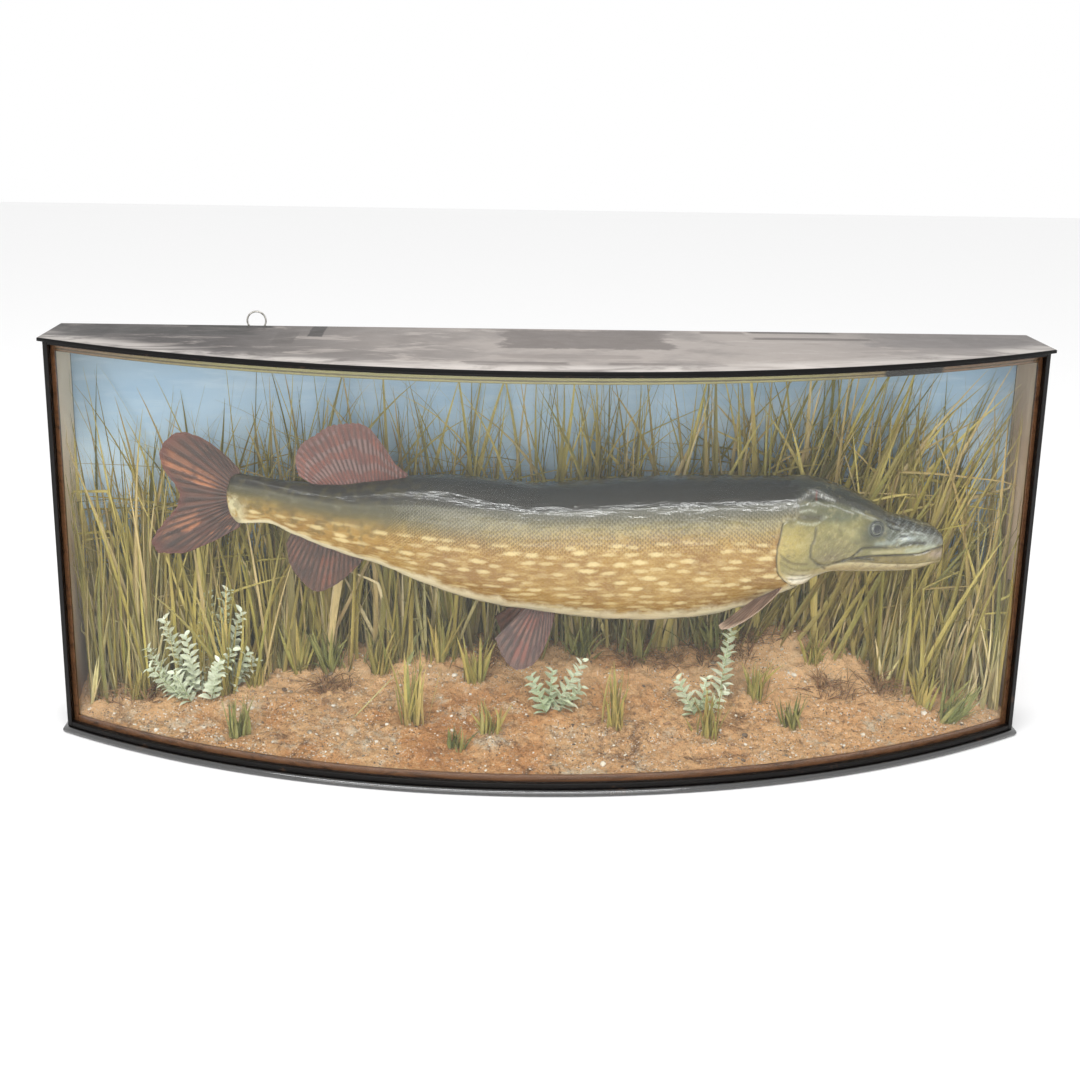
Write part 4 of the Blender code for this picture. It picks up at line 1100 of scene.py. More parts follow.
def relief(s, z, facing):
    """How far the skin stands out from the body's form. facing is 1 on the sides."""
    d = np.zeros(np.shape(s))
    for lines, height, width in FOLDS:
        for line in lines:
            d += height * near(s, z, line, width)
    d *= 1 - 0.9 * step_up(-s, -0.004, 0.004)
    d += 0.0008 * near(s, z, [(p, q - 0.0045) for p, q in LIP_FOLD[3:]], 0.0030)
    d += 0.0007 * near(s, z, [(p - 0.004, q) for p, q in PREOPERCLE[:5]], 0.0028)
    lumps = 0.65 + 0.55 * unevenness(s, z, 520, 3) + 0.4 * unevenness(s, z, 1100, 5)
    d += (0.0015 * near(s, z, CROWN_RIDGE, 0.0030)
          + 0.0012 * near(s, z, CROWN_RIDGE_LOW, 0.0022)) * lumps
    d -= 0.0010 * near(s, z, [(p - 0.006, q - 0.006) for p, q in CROWN_RIDGE[3:]], 0.0035)
    d -= 0.0010 * blob(s, z, (0.075, 0.3060), (0.018, 0.0045))
    for pore in PORES:
        d -= 0.0007 * blob(s, z, pore, (0.0012, 0.0009))
    edge = away(s, z, GILL_EDGE)
    inside = (s < gill_edge_at(z)) & (z < 0.328) & (s > 0.15)
    d += np.where(inside, 0.0016 * np.exp(-edge / 0.016), 0.0) * step_up(s, 0.16, 0.19)
    d -= np.where(inside, 0.0, 0.0026) * np.exp(-(edge / 0.0022)**2)
    d += 0.0013 * blob(s, z, (0.152, 0.302), (0.020, 0.015))
    d += 0.0010 * blob(s, z, (0.210, 0.304), (0.013, 0.014))
    r = np.hypot(s - EYE[0], z - EYE[1])
    d += (0.0008 * np.exp(-((r - 0.0104) / 0.0015)**2)
          - 0.0046 * step_up(r, 0.0096, 0.0082)) * facing
    trunk = step_up(s, 0.24, 0.30)
    d += (0.0007 * unevenness(s, z, 42, 7) + 0.0004 * unevenness(s, z, 130, 9)) * trunk
    dried_fold = (0.45, 0.349), (0.40, 0.352), (0.375, 0.347)
    return d - 0.0008 * near(s, z, dried_fold, 0.0022)


def head_tone(s, z, level):
    """The head's colour at each place, as linear red, green and blue, painted highlights and
    painted shade included.
    """
    tone = np.empty((*np.shape(s), 3))
    tone[:] = hue("787040")

    def lay(code, share):
        tone[:] += (np.array(hue(code)) - tone) * np.clip(share, 0, 1)[..., None]

    # gill cover, cheek and the dark round the eye
    lay("978543", blob(s, z, (0.212, 0.298), (0.024, 0.026)))
    lay("b29e5a", 0.9 * blob(s, z, (0.222, 0.293), (0.010, 0.014)))
    lay("746a42", 0.8 * blob(s, z, (0.152, 0.292), (0.026, 0.018)))
    # painted shade on the lower cheek
    lay("675b3e", 0.9 * blob(s, z, (0.162, 0.277), (0.022, 0.009)))
    lay("857d50", 0.8 * blob(s, z, (0.128, 0.303), (0.012, 0.010)))
    lay("938b5b", 0.9 * near(s, z, CHEEK_SHINE, 0.0048))
    # the upper head: darker olive-grey, in part painted shade for the lid's dark reflection on its
    # upturned top
    lay("4e4e35", 0.9 * step_up(z, 0.322, 0.334) * step_up(s, 0.105, 0.125))
    lay("5d614c", 0.6 * blob(s, z, (0.150, 0.330), (0.018, 0.007)))
    lay("353a2b", 0.95 * blob(s, z, (0.104, 0.308), (0.020, 0.020)))
    # snout and crown, with painted highlights on the snout ridge, a pale patch and the ridges by
    # the nostrils
    lay("42463c", 0.9 * step_up(s, 0.098, 0.080) * step_up(z, 0.287, 0.295))
    lay("83897d", 0.85 * near(s, z, SNOUT_RIDGE, 0.0036))
    lay("b9c0c2", 0.75 * blob(s, z, (0.0580, 0.2995), (0.0090, 0.0026)))
    lay("797871", 0.55 * step_up(s, 0.045, 0.015) * step_up(z, 0.287, 0.295))
    # painted glints on the ridges by the nostrils
    for fold in NOSE_GLINT_RIDGES:
        lay("9da099", 0.75 * near(s, z, fold, 0.0016))
    # painted shade: the dark back, the lid's reflection on the upturned top over its own dark
    # colour
    lay("26251f", 0.95 * step_up(level, 0.80, 0.88))
    # lips, jaw and throat
    lay("9e956d", 0.9 * near(s, z, [(p, q + 0.0055) for p, q in MOUTH[3:7]], 0.0034))
    lip_shine = (0.055, 0.2825), (0.035, 0.2855), (0.020, 0.2895)
    lay("989d89", 0.85 * near(s, z, lip_shine, 0.0038))
    line = np.interp(s, [p for p, _ in MOUTH], [q for _, q in MOUTH])
    jaw = step_up(z - line, 0.0008, -0.0012) * step_up(s, 0.150, 0.128)
    # painted shade: the lower jaw's edge under the overhang of the upper jaw
    lay("76652f", jaw)
    lay("817040", 0.6 * jaw * near(s, z, ((0.11, 0.2715), (0.04, 0.2715)), 0.0022))
    fold = np.interp(s, [p for p, _ in JAW_FOLD[::-1]], [q for _, q in JAW_FOLD[::-1]])
    lay("b2a078", 0.95 * step_up(z - fold, 0.0012, -0.0012) * step_up(s, 0.190, 0.160))
    lay("9e8c55", 0.85 * step_up(z, 0.268, 0.250) * step_up(s, 0.165, 0.185))
    lay("efe4ca", 0.9 * step_up(z, 0.256, 0.246))
    throat_fold = (0.200, 0.2400), (0.188, 0.2415), (0.175, 0.2528)
    lay("aa9971", 0.8 * near(s, z, throat_fold, 0.0035))
    lay("9a8472", 0.85 * blob(s, z, (0.014, 0.2775), (0.012, 0.0060)))
    lay("f4ecd8", 0.95 * blob(s, z, (0.200, 0.2450), (0.024, 0.0085)))
    # streaks, ridges and folds, with painted highlights and painted shade
    rough = 0.6 + 0.9 * unevenness(s, z, 900, 4)
    streak = unevenness(s * 0.35, z, 1500, 8) + 0.6 * unevenness(s * 0.5, z, 2600, 6)
    snout = step_up(s, 0.100, 0.070) * step_up(z, 0.285, 0.291)
    # painted highlights streaked along the snout
    lay("aaafab", 0.50 * step_up(streak, 0.05, 0.95) * snout)
    lay("1e1f19", 0.42 * step_up(-streak, 0.10, 0.95) * snout)
    lay("514722", 0.55 * step_up(streak, 0.15, 0.8) * jaw)
    cheek = step_up(s, 0.10, 0.13) * step_up(z, 0.33, 0.31)
    lay("a79865", 0.45 * step_up(-streak, 0.2, 0.8) * cheek)
    # pale paint on the hollow's rims, crown ridges and brow is painted highlight; dark paint in the
    # hollow, mouth, folds, gill rays and nostrils is painted shade
    for code, lines, width, share in (
            ("a9a891", HOLLOW_RIMS, 0.0017, 0.6 * rough + 0.15), ("423b24", (HOLLOW,), 0.0032, 0.9),
            ("a19f99", (CROWN_RIDGE,), 0.0026, 0.75 * rough),
            ("99998f", (CROWN_RIDGE_LOW,), 0.0018, 0.75 * rough),
            ("9d9e98", (BROW,), 0.0019, 0.8 * rough), ("1c160d", (MOUTH,), 0.0015, 0.95),
            ("221d10", (LIP_FOLD,), 0.0018, 0.92), ("2a2514", (MOUTH_CORNER,), 0.0032, 0.88),
            ("3a341e", (CHEEK_FOLD,), 0.0024, 0.8), ("3b351d", (PREOPERCLE,), 0.0017, 0.82),
            ("51401c", RAY_FOLDS[:1], 0.0013, 0.85), ("5e4d20", RAY_FOLDS[1:], 0.0011, 0.7),
            ("40371d", (JAW_FOLD,), 0.0008, 0.5), ("0c0d0b", NOSTRILS, 0.0012, 0.9)):
        for line in lines:
            lay(code, share * near(s, z, line, width))
    red_nick = (0.1820, 0.3648), (0.1830, 0.3551)
    lay("6a2822", 0.7 * near(s, z, red_nick, 0.0010))
    for pore in PORES:
        lay("332d1a", 0.7 * blob(s, z, pore, (0.0011, 0.0008)))
    # the socket, and the edge of the gill cover; the dark in the socket and in the gill opening is
    # painted shade
    r = np.hypot(s - EYE[0], z - EYE[1])
    lay("505348", 0.9 * np.exp(-((r - 0.0112) / 0.0012)**2))
    lay("13130e", step_up(r, 0.0098, 0.0090))
    edge = away(s, z, GILL_EDGE)
    inside = (s < gill_edge_at(z)) & (z < 0.31)
    lay("af9658", 0.7 * np.exp(-((edge - 0.0035) / 0.0018)**2) * inside)
    lay("1c1109", 0.95 * np.exp(-(edge / 0.0019)**2) * (s > 0.20))
    return tone


def lie_of(distance, points):
    """Where each place lies: along the fish, above its row line over the skin, and its level."""
    back, belly, _ = body_at(distance)
    line = np.interp(distance, ROW_LINE[:, 0], ROW_LINE[:, 1])
    middle, tall = (back + belly) / 2, (back - belly) / 2
    arc = np.arcsin(np.clip((points[..., 2] - middle) / tall, -1, 1))
    start = np.arcsin(np.clip((line - middle) / tall, -1, 1))
    far = points[..., 1] > FISH_Y
    return np.stack((distance + np.where(far, FAR_SIDE, 0.0), (arc - start) * tall * 0.90,
                     (points[..., 2] - belly) / (back - belly)), -1)


def make_skin():
    """One skin from snout to tail stock, inside the solids by the depth of its scales."""
    nose = (0.0002, 0.0008, 0.0018, 0.003, 0.0045)
    stock = STOCK_END - TAIL_ROUND * np.array((1, 0.8, 0.6, 0.42, 0.28, 0.16, 0.07, 0))
    steps = np.concatenate((nose, np.arange(0.006, 0.2505, 0.00105),
                            np.arange(0.2545, 0.928, 0.0043), stock))
    columns = 238
    turns = np.linspace(0, FULL_TURN, columns, endpoint=False)
    s = np.repeat(steps[:, None], columns, 1)
    base = on_body(s, turns[None, :])
    z = base[..., 2]
    padded = np.concatenate((base[:, -1:], base, base[:, :1]), 1)
    normal = np.cross(padded[:, 2:] - padded[:, :-2], np.gradient(base, axis=0))
    normal /= np.linalg.norm(normal, axis=2, keepdims=True) + 1e-12
    normal *= np.sign(((base - base.mean(1, keepdims=True)) * normal).sum(2).mean())
    facing = step_up(np.abs(normal[..., 1]), 0.35, 0.75)
    depth = relief(s, z, facing) * step_up(s, 0.0, 0.004) - COAT
    points = base + normal * depth[..., None]
    made = add_piece("pike_skin", points, grid_faces(len(steps), columns, True, True),
                     skin_finish("pike_skin", False), "skin", [
                         "head", "lower_jaw", "gill_cover_right", "gill_cover_left",
                         "trunk_front", "trunk_middle", "trunk_rear", "tail_stock"], angle=180)
    lie = lie_of(s, base)
    mesh = made.data
    set_attribute(mesh, "lie", lie.reshape(-1, 3))
    set_attribute(mesh, "face", face_share(s, z).ravel())
    tone = np.clip(head_tone(s, z, lie[..., 2]), 0, 1).reshape(-1, 3)
    set_attribute(mesh, "tone", np.concatenate((tone, np.ones((len(tone), 1))), 1), "FLOAT_COLOR")
    unwrap = mesh.uv_layers.new(name="OFBake")
    v = np.array([loop.vertex_index for loop in mesh.loops])
    u = np.stack((v // columns / len(steps), v % columns / columns), 1) * 0.98 + 0.01
    unwrap.data.foreach_set("uv", u.astype(np.float32).ravel())


def scale_pattern():
    """One scale: its root at the origin, its free edge towards +X and lifted."""
    leaf = np.array(((0.0, -0.34, 0.0), (0.0, 0.34, 0.0), (0.42, -0.50, 0.0), (0.42, 0.0, 0.0),
                     (0.42, 0.50, 0.0), (0.80, -0.38, 0.0), (0.80, 0.38, 0.0), (0.96, -0.15, 0.0),
                     (0.96, 0.15, 0.0)))
    shape = leaf.copy()
    shape[:, 2] = -0.25 + 1.25 * leaf[:, 0]**0.8 - 0.7 * leaf[:, 1]**2
    faces = [(0, 2, 3), (0, 3, 1), (1, 3, 4), (2, 5, 3), (3, 6, 4), (3, 5, 7), (3, 7, 8), (3, 8, 6)]
    return pattern_object(shape, faces, plate=leaf)


def frame_at(s, turn):
    """Unit axes on the body: towards the tail, across, and outwards."""
    ahead = on_body(s + 0.0015, turn) - on_body(s - 0.0015, turn)
    normal = np.cross(on_body(s, turn + 0.01) - on_body(s, turn - 0.01), ahead)
    p, (back, belly, _) = on_body(s, turn), body_at(s)
    centre = np.stack((p[:, 0], np.full(len(p), FISH_Y), (back + belly) / 2), 1)
    normal *= np.sign(((p - centre) * normal).sum(1))[:, None]
    axes = ahead, np.cross(normal, ahead), normal
    return [v / np.linalg.norm(v, axis=1, keepdims=True) for v in axes]


def scale_places():
    """Staggered rows from the gill covers to the tail: distance, turn, pitch and shake."""
    rows, s, places = 82, 0.196, []
    turns = np.linspace(0, FULL_TURN, 241)
    while s < 0.9435:
        ring = on_body(np.full(len(turns), s), turns)
        lengths = np.concatenate(([0], np.cumsum(np.linalg.norm(np.diff(ring, axis=0), axis=1))))
        pitch = lengths[-1] / rows
        at = (np.arange(rows) + 0.5 * (len(places) % 2)) * pitch
        places.append(np.stack((np.full(rows, s), np.interp(at, lengths, turns),
                                np.full(rows, pitch)), 1))
        s += pitch * 0.52
    s, turn, pitch = np.concatenate(places).T
    shake = rng.uniform(-1, 1, (3, len(s)))
    s, turn = s + shake[0] * pitch * 0.07, turn + shake[2] * 0.004
    height = on_body(s, turn)[:, 2]
    keep = (face_share(s, height) < 0.35 + 0.3 * shake[1]) & (s < 0.9445)
    return s[keep], turn[keep], pitch[keep], shake[1, keep]


def scale_seats():
    """Where the scales sit, which are on the far side, and what each seat passes on."""
    s, turn, pitch, shake = scale_places()
    p = on_body(s, turn)
    x_axis, y_axis, normal = frame_at(s, turn)
    back, belly, _ = body_at(s)
    across = on_body(s, turn + 0.03) - on_body(s, turn - 0.03)
    bend = frame_at(s, turn + 0.03)[2] - frame_at(s, turn - 0.03)[2]
    bend /= (across * y_axis).sum(1)[:, None]
    depth = relief(s, p[:, 2], np.ones(len(s))) - COAT
    reach = pitch * 0.75
    seats = p + normal * (depth + 0.00002)[:, None] - x_axis * reach[:, None]
    none = np.zeros(len(s))
    long, wide = pitch * (1.5 + 0.06 * shake), pitch * 1.16
    passed = {
        "turned": np.array([turned_to(*axes) for axes in zip(x_axis, y_axis, normal)]),
        "size": np.stack((long, wide, 0.00034 + 0.02 * pitch), 1),
        "lie_root": lie_of(s, p) - np.stack((reach, none, none), 1),
        "spread": np.stack((long, wide * np.sign(y_axis[:, 2]), none), 1),
        "tilt": np.stack((none, none, wide * y_axis[:, 2] / (back - belly)), 1),
        "bake_root": np.stack((0.01 + 0.97 * s / STOCK_END, 0.01 + 0.97 * turn / FULL_TURN,
                               none), 1),
        "facing_root": normal,
        "bend": bend * wide[:, None]}
    return seats, p[:, 1] >= FISH_Y, passed


def scale_shape(tree):
    """Scales on their seats. Each point knows where it lies, and which way the body faces there."""
    shape = tree.repeat("Scale_shape")
    plate = tree.read("plate")
    across = plate.split()[1]
    across = tree.node("ShaderNodeCombineXYZ", {0: across, 1: across, 2: across})
    lie = tree.read("lie_root").plus(plate.times(tree.read("spread")))
    lie = lie.plus(across.times(tree.read("tilt")))
    facing = tree.read("facing_root").plus(across.times(tree.read("bend")))
    patch = plate.plus((0, 0.5, 0)).times((0.003, 0.003, 0))
    shape = tree.store(shape, "lie", lie, "FLOAT_VECTOR", "POINT")
    shape = tree.store(shape, "facing", facing, "FLOAT_VECTOR", "POINT")
    return tree.store(shape, "OFBake", tree.read("bake_root").plus(patch), "FLOAT2", "CORNER")


def make_scales():
    """Overlapping solid scales over the skin, one piece for each side."""
    finish = skin_finish("pike_scales", True)
    seats, far, passed = scale_seats()
    for name, side in (("scales_right", ~far), ("scales_left", far)):
        pattern = scale_pattern()
        tree = Tree(name, Scale_shape=pattern, Finish=finish)
        guide = guide_mesh(seats[side], **{key: values[side] for key, values in passed.items()})
        mesh = tree.run(name, scale_shape(tree), guide)
        bpy.data.objects.remove(pattern)
        for key in passed:
            if key in mesh.attributes:
                mesh.attributes.remove(mesh.attributes[key])
        add_mesh(name, mesh, finish, "skin", angle=180, tidy=False)


FINS = (  # name, root, margin, rays, bend out of its plane, then its finish
    ("dorsal_fin", ((0.716, 0.360), (0.775, 0.352), (0.826, 0.352)),
     ((0.712, 0.374), (0.728, 0.388), (0.739, 0.405), (0.751, 0.422), (0.763, 0.4355),
      (0.778, 0.441), (0.808, 0.438), (0.833, 0.424), (0.851, 0.411), (0.858, 0.392),
      (0.854, 0.371)), 26, 0.0025,
     ("7d4a3c", "6a3a30", "3a2621", "86706a", "6b382c", "94523f", 3.3, 0.55, 0.4)),
    ("anal_fin", ((0.770, 0.266), (0.815, 0.280), (0.862, 0.300)),
     ((0.768, 0.262), (0.777, 0.250), (0.796, 0.231), (0.815, 0.218), (0.832, 0.212),
      (0.856, 0.230), (0.870, 0.255), (0.873, 0.278)), 18, 0.002,
     ("462b20", "553627", "20140e", "67493a", "4b2e22", "844a32", 2.0, 0.40, 0.45)),
    ("caudal_fin", ((0.928, 0.368), (0.940, 0.340), (0.930, 0.312)),
     ((0.930, 0.379), (0.959, 0.408), (0.983, 0.423), (1.003, 0.428), (1.025, 0.415),
      (1.033, 0.396), (1.028, 0.376), (1.016, 0.358), (1.010, 0.343), (1.014, 0.328),
      (1.034, 0.303), (1.049, 0.277), (1.038, 0.263), (1.015, 0.263), (0.976, 0.277),
      (0.932, 0.301)), 24, 0.003,
     ("45271d", "573425", "1b100b", "644433", "56291c", "ac6c44", 1.6, 0.35, 0.72, 7.5)),
    ("pelvic_fin", ((0.518, 0.018, 0.208), (0.532, 0.018, 0.208), (0.546, 0.018, 0.210)),
     ((0.518, 0.026, 0.190), (0.522, 0.034, 0.174), (0.535, 0.043, 0.142),
      (0.551, 0.048, 0.125), (0.567, 0.050, 0.121), (0.585, 0.049, 0.136),
      (0.597, 0.043, 0.163)), 12, 0.002,
     ("55322a", "472a21", "22150f", "745546", "4e3024", "874a38", 2.2, 0.40, 0.5)),
    ("pectoral_fin", ((0.224, 0.036, 0.236), (0.230, 0.034, 0.232), (0.236, 0.031, 0.229)),
     ((0.222, 0.045, 0.236), (0.239, 0.064, 0.226), (0.259, 0.078, 0.211),
      (0.280, 0.086, 0.199), (0.296, 0.084, 0.192), (0.305, 0.074, 0.189),
      (0.306, 0.061, 0.190)), 14, 0.0015,
     ("6b4e40", "5d4335", "35241c", "a58a7a", "c0a592", "b08d78", 2.0, 0.3, 0.5)))


def make_fin(label, root, margin, rays, bend, side, finish):
    """A fin of tapering, branching rays with thin skin between them and a frayed margin."""
    def placed(points, count):
        path = smooth_path(points, count)
        out = side * path[:, 1] if path.shape[1] == 3 else 0 * path[:, 0]
        return np.stack((SNOUT_X - path[:, 0], FISH_Y + out, path[:, -1]), 1)
    per_ray, rows = 8, 40
    count = rays * per_ray + 1
    starts, ends = placed(root, count), placed(margin, count)
    half = count // 2
    plane = np.cross(ends[half] - starts[half], ends[-1] - ends[0])
    plane /= np.linalg.norm(plane)
    index, t = np.arange(count)[:, None] / per_ray, np.linspace(0, 1, rows)[None, :]
    ray = np.abs(np.cos(math.pi * index))
    fray = 0.006 * unevenness(index * 0.11, index * 0, 60, 2) - 0.016 * (1 - ray)
    out = t * (1 + fray * t**6)
    middle = starts[:, None] + (ends - starts)[:, None] * out[..., None]
    wave = bend * np.sin(2.2 * index / rays * math.pi + 0.6) * t**1.5
    middle = middle + plane * wave[..., None]
    branch = np.maximum(ray, np.abs(np.cos(FULL_TURN * index)))
    ridge = ray**2 * (1 - t) + branch**2 * t
    thick = (0.0029 - 0.0022 * t**0.7) * (0.55 + 0.55 * ridge)
    thick[:, -1] *= 0.3
    points = np.stack([middle + plane * (k * thick / 2)[..., None] for k in (1, -1)])
    total = count * rows
    faces = grid_faces(count, rows)
    faces += [[total + v for v in reversed(face)] for face in faces]
    edge = [i * rows + rows - 1 for i in range(count)]
    edge += [(count - 1) * rows + j for j in reversed(range(rows - 1))]
    edge += [i * rows for i in reversed(range(count - 1))] + list(range(1, rows - 1))
    faces += [(a, b, total + b, total + a) for a, b in zip(edge, edge[1:] + edge[:1])]
    made = add_piece(label + "_skin", points, faces, finish, "fin_skin", [label], angle=60)
    fan = np.stack(np.broadcast_arrays(index, t, 0.0), -1).reshape(-1, 3)
    set_attribute(made.data, "fan", np.concatenate((fan, fan)))


def make_fins():
    """Single fins in the middle plane, and paired ones on both sides."""
    for name, root, margin, rays, bend, look in FINS:
        finish = fin_finish(name, *look)
        for end, side in ((("", 0),) if len(root[0]) == 2 else (("_right", -1), ("_left", 1))):
            make_fin(name + end, root, margin, rays, bend, side, finish)


def make_eyes():
    """Domed glass eyes in their sockets, each with a rim of skin round it."""
    glass = eye_finish()
    lid = Finish("eye_rim", Coat_Weight=0.8, Coat_Roughness=0.12)
    lid.paint(lid.mix(lid.patch(400, 0.4, 0.66), "3a3b33", "1d1e1a"), 0.32)
    lid.bump(lid.noise(700), 0.0005)
    for name, side in (("right", -1), ("left", 1)):
        turns = np.linspace(-0.2, 1.2, 400)
        turn = float(np.interp(EYE[1], on_body(EYE[0], turns)[:, 2], turns))
        turn = turn if side > 0 else math.pi - turn
        centre = on_body(EYE[0], turn)
        u = on_body(EYE[0] + 0.004, turn) - on_body(EYE[0] - 0.004, turn)
        normal = np.cross(u, on_body(EYE[0], turn + 0.06) - on_body(EYE[0], turn - 0.06))
        normal *= np.sign(normal[1]) * side / np.linalg.norm(normal)
        u /= np.linalg.norm(u)
        v = np.cross(normal, u)
        v *= np.sign(v[2])
        spin = np.linspace(0, FULL_TURN, 48, endpoint=False)
        profile = [(0.0002 + 0.0087 * math.sin(a), 0.0028 * math.cos(a) - 0.0010)
                   for a in np.linspace(0, math.pi / 2, 16)]
        profile += [(0.0082, -0.0030), (0.0004, -0.0032)]
        points = [[centre + radius * (math.cos(a) * u + math.sin(a) * v) + out * normal
                   for a in spin] for radius, out in profile]
        made = add_piece("glass_eye_" + name, points, grid_faces(len(profile), 48, True, True),
                         glass, "eye_glass", ["eye_" + name], angle=180)
        set_attribute(made.data, "round", [(radius, 6 * math.cos(a), 0)
                                           for radius, _ in profile for a in spin])
        rim = []
        for a in np.linspace(0, FULL_TURN, 49):
            spoke = math.cos(a) * u + math.sin(a) * v
            heavy = 1.0 + 0.45 * max(0.0, math.sin(a))
            rim.append([centre + spoke * (0.0094 + 0.0011 * heavy * math.cos(b))
                        + normal * (0.0001 + 0.0009 * heavy * math.sin(b))
                        for b in np.linspace(0, FULL_TURN, 12, endpoint=False)])
        add_piece("eye_rim_" + name, rim, grid_faces(49, 12, True), lid.material, "skin",
                  angle=180)


def make_rods():
    """Dark dowels from the back board into the fish."""
    dark = wood_finish("dark_dowel", "18120e", "2f241c")
    radius, height, inner_end = 0.006, 0.300, 0.064
    c, s = circle(20)
    for name, distance in (("front", 0.300), ("rear", 0.600)):
        x = SNOUT_X - distance
        rings = [np.stack((x + radius * c, np.full(20, y), height + radius * s), 1)
                 for y in np.linspace(BACK_FRONT_Y - GAP, inner_end, 5)]
        add_piece("dowel_" + name, rings, grid_faces(5, 20, True, True), dark, "ebonised_wood",
                  ["support_rod_" + name])


# ---------------------------------------------------------------- the groundwork

def ground_height(x, y):
    """Height of the slope: it climbs to the back, with a mound right and a low one midway."""
    x, y = np.asarray(x, float), np.asarray(y, float)
    behind = np.maximum(0.0, y - bow(SLIP_INSIDE, np.minimum(np.abs(x), OPENING)))
    mound = 0.058 * np.exp(-((x - 0.34) / 0.13)**2 - ((y - CHORD_Y - 0.070) / 0.062)**2)
    mound += 0.012 * np.exp(-((x - 0.02) / 0.14)**2 - ((y - CHORD_Y - 0.060) / 0.050)**2)
    ripple = 0.004 * np.sin(9.0 * x + 1.0) * np.sin(14.0 * y + 0.6)
    return 0.0225 + 0.27 * behind + np.minimum(1.0, behind / 0.05) * (mound + ripple)


def sand_level(x, y):
    """Height of the finished surface: the slope with its lumps, clods and grain."""
    x, y = np.asarray(x, float), np.asarray(y, float)
    rough = []
    for a, b in zip(x.ravel(), y.ravel()):
        lump = noise.fractal(Vector((a * 42, b * 42, 3.0)), 0.9, 2.1, 4)
        clod = noise.fractal(Vector((a * 115 + b * 40, b * 140, 6.0)), 0.7, 2.1, 3)
        grain = noise.noise(Vector((a * 330, b * 330, 9.0)))
        rough.append(0.0058 * lump + 0.0030 * clod + 0.0013 * grain)
    behind = y - bow(SLIP_INSIDE, np.minimum(np.abs(x), OPENING))
    ease = 0.25 + 0.75 * np.clip(behind / 0.03, 0, 1)
    return ground_height(x, y) + np.reshape(rough, x.shape) * ease


def make_ground():
    """One closed block of sand, its top uneven and its front along the slip."""
    columns, rows = 450, 120
    half = HALF_WIDTH - WALL - GAP
    xs = np.linspace(-half, half, columns)
    at_slip = bow(SLIP_INSIDE - GAP, np.minimum(np.abs(xs), SLIP_SPAN))
    front = np.where(np.abs(xs) > SLIP_SPAN, bow(SLIP_INSIDE, OPENING), at_slip) + 2 * GAP
    t = np.linspace(0, 1, rows)
    y = front[:, None] + (BACK_FRONT_Y - GAP - front)[:, None] * t
    x = np.repeat(xs[:, None], rows, 1)
    points = np.stack((x, y, sand_level(x, y)), -1).reshape(-1, 3)
    rim = [i * rows for i in range(columns)] + [(columns - 1) * rows + j for j in range(1, rows)]
    rim += [i * rows + rows - 1 for i in reversed(range(columns - 1))]
    rim += list(reversed(range(1, rows - 1)))
    low = points[rim] * (1, 1, 0) + (0, 0, FOOT)
    base, n = len(points), len(rim)
    faces = grid_faces(columns, rows) + [list(range(base, base + n))]
    faces += [(rim[k], rim[(k + 1) % n], base + (k + 1) % n, base + k) for k in range(n)]
    add_piece("sand_bed", np.concatenate((points, low)), faces, sand_finish(), "sand",
              ["groundwork"], angle=70)


def scatter_stones():
    """Angular grit and a few rounder pebbles, set a little into the sand."""
    finish = stone_finish()
    for name, count, finer, smallest, spread, steep in (
            ("grit", 5200, 1, 0.0006, 0.0020, 5), ("pebbles", 240, 2, 0.0014, 0.0030, 3)):
        x = rng.uniform(-0.63, 0.63, count)
        front = bow(SLIP_INSIDE, np.abs(x)) + 0.004
        y = front + (BACK_FRONT_Y - 0.01 - front) * rng.uniform(0, 1, count)**1.15
        size = smallest + spread * rng.uniform(0, 1, count)**steep
        wide = rng.uniform(0.8, 1.4, count)
        flat = np.stack((size * wide, size, size * rng.uniform(0.5, 0.8, count)), 1)
        bm = bmesh.new()
        bmesh.ops.create_icosphere(bm, subdivisions=finer, radius=1.0)
        for v in bm.verts:
            v.co *= 1 + 0.35 * noise.noise(v.co * 1.7 + Vector((4, 2, 1)))
        shape = [tuple(v.co) for v in bm.verts], [[v.index for v in f.verts] for f in bm.faces]
        bm.free()
        repeat_pattern(name, pattern_object(*shape), finish, "sand",
                       np.stack((x, y, sand_level(x, y) + size * 0.25), 1),
                       rng.uniform(-3, 3, (count, 3)) * (0.15, 0.15, 1), flat, angle=30,
                       tone=rng.uniform(0, 1, count))


def inside_case(points):
    """Points kept within the walls, behind the glass and under the lid."""
    clear = 0.004
    x, y, z = np.moveaxis(points, -1, 0)
    inner = HALF_WIDTH - WALL - clear
    x = np.clip(x, -inner, inner)
    y = np.clip(y, bow(SLIP_INSIDE - clear, np.minimum(np.abs(x), OPENING)), BACK_FRONT_Y - clear)
    return np.stack((x, y, np.minimum(z, TOP - HIGH_SLIP - 0.0007)), -1)


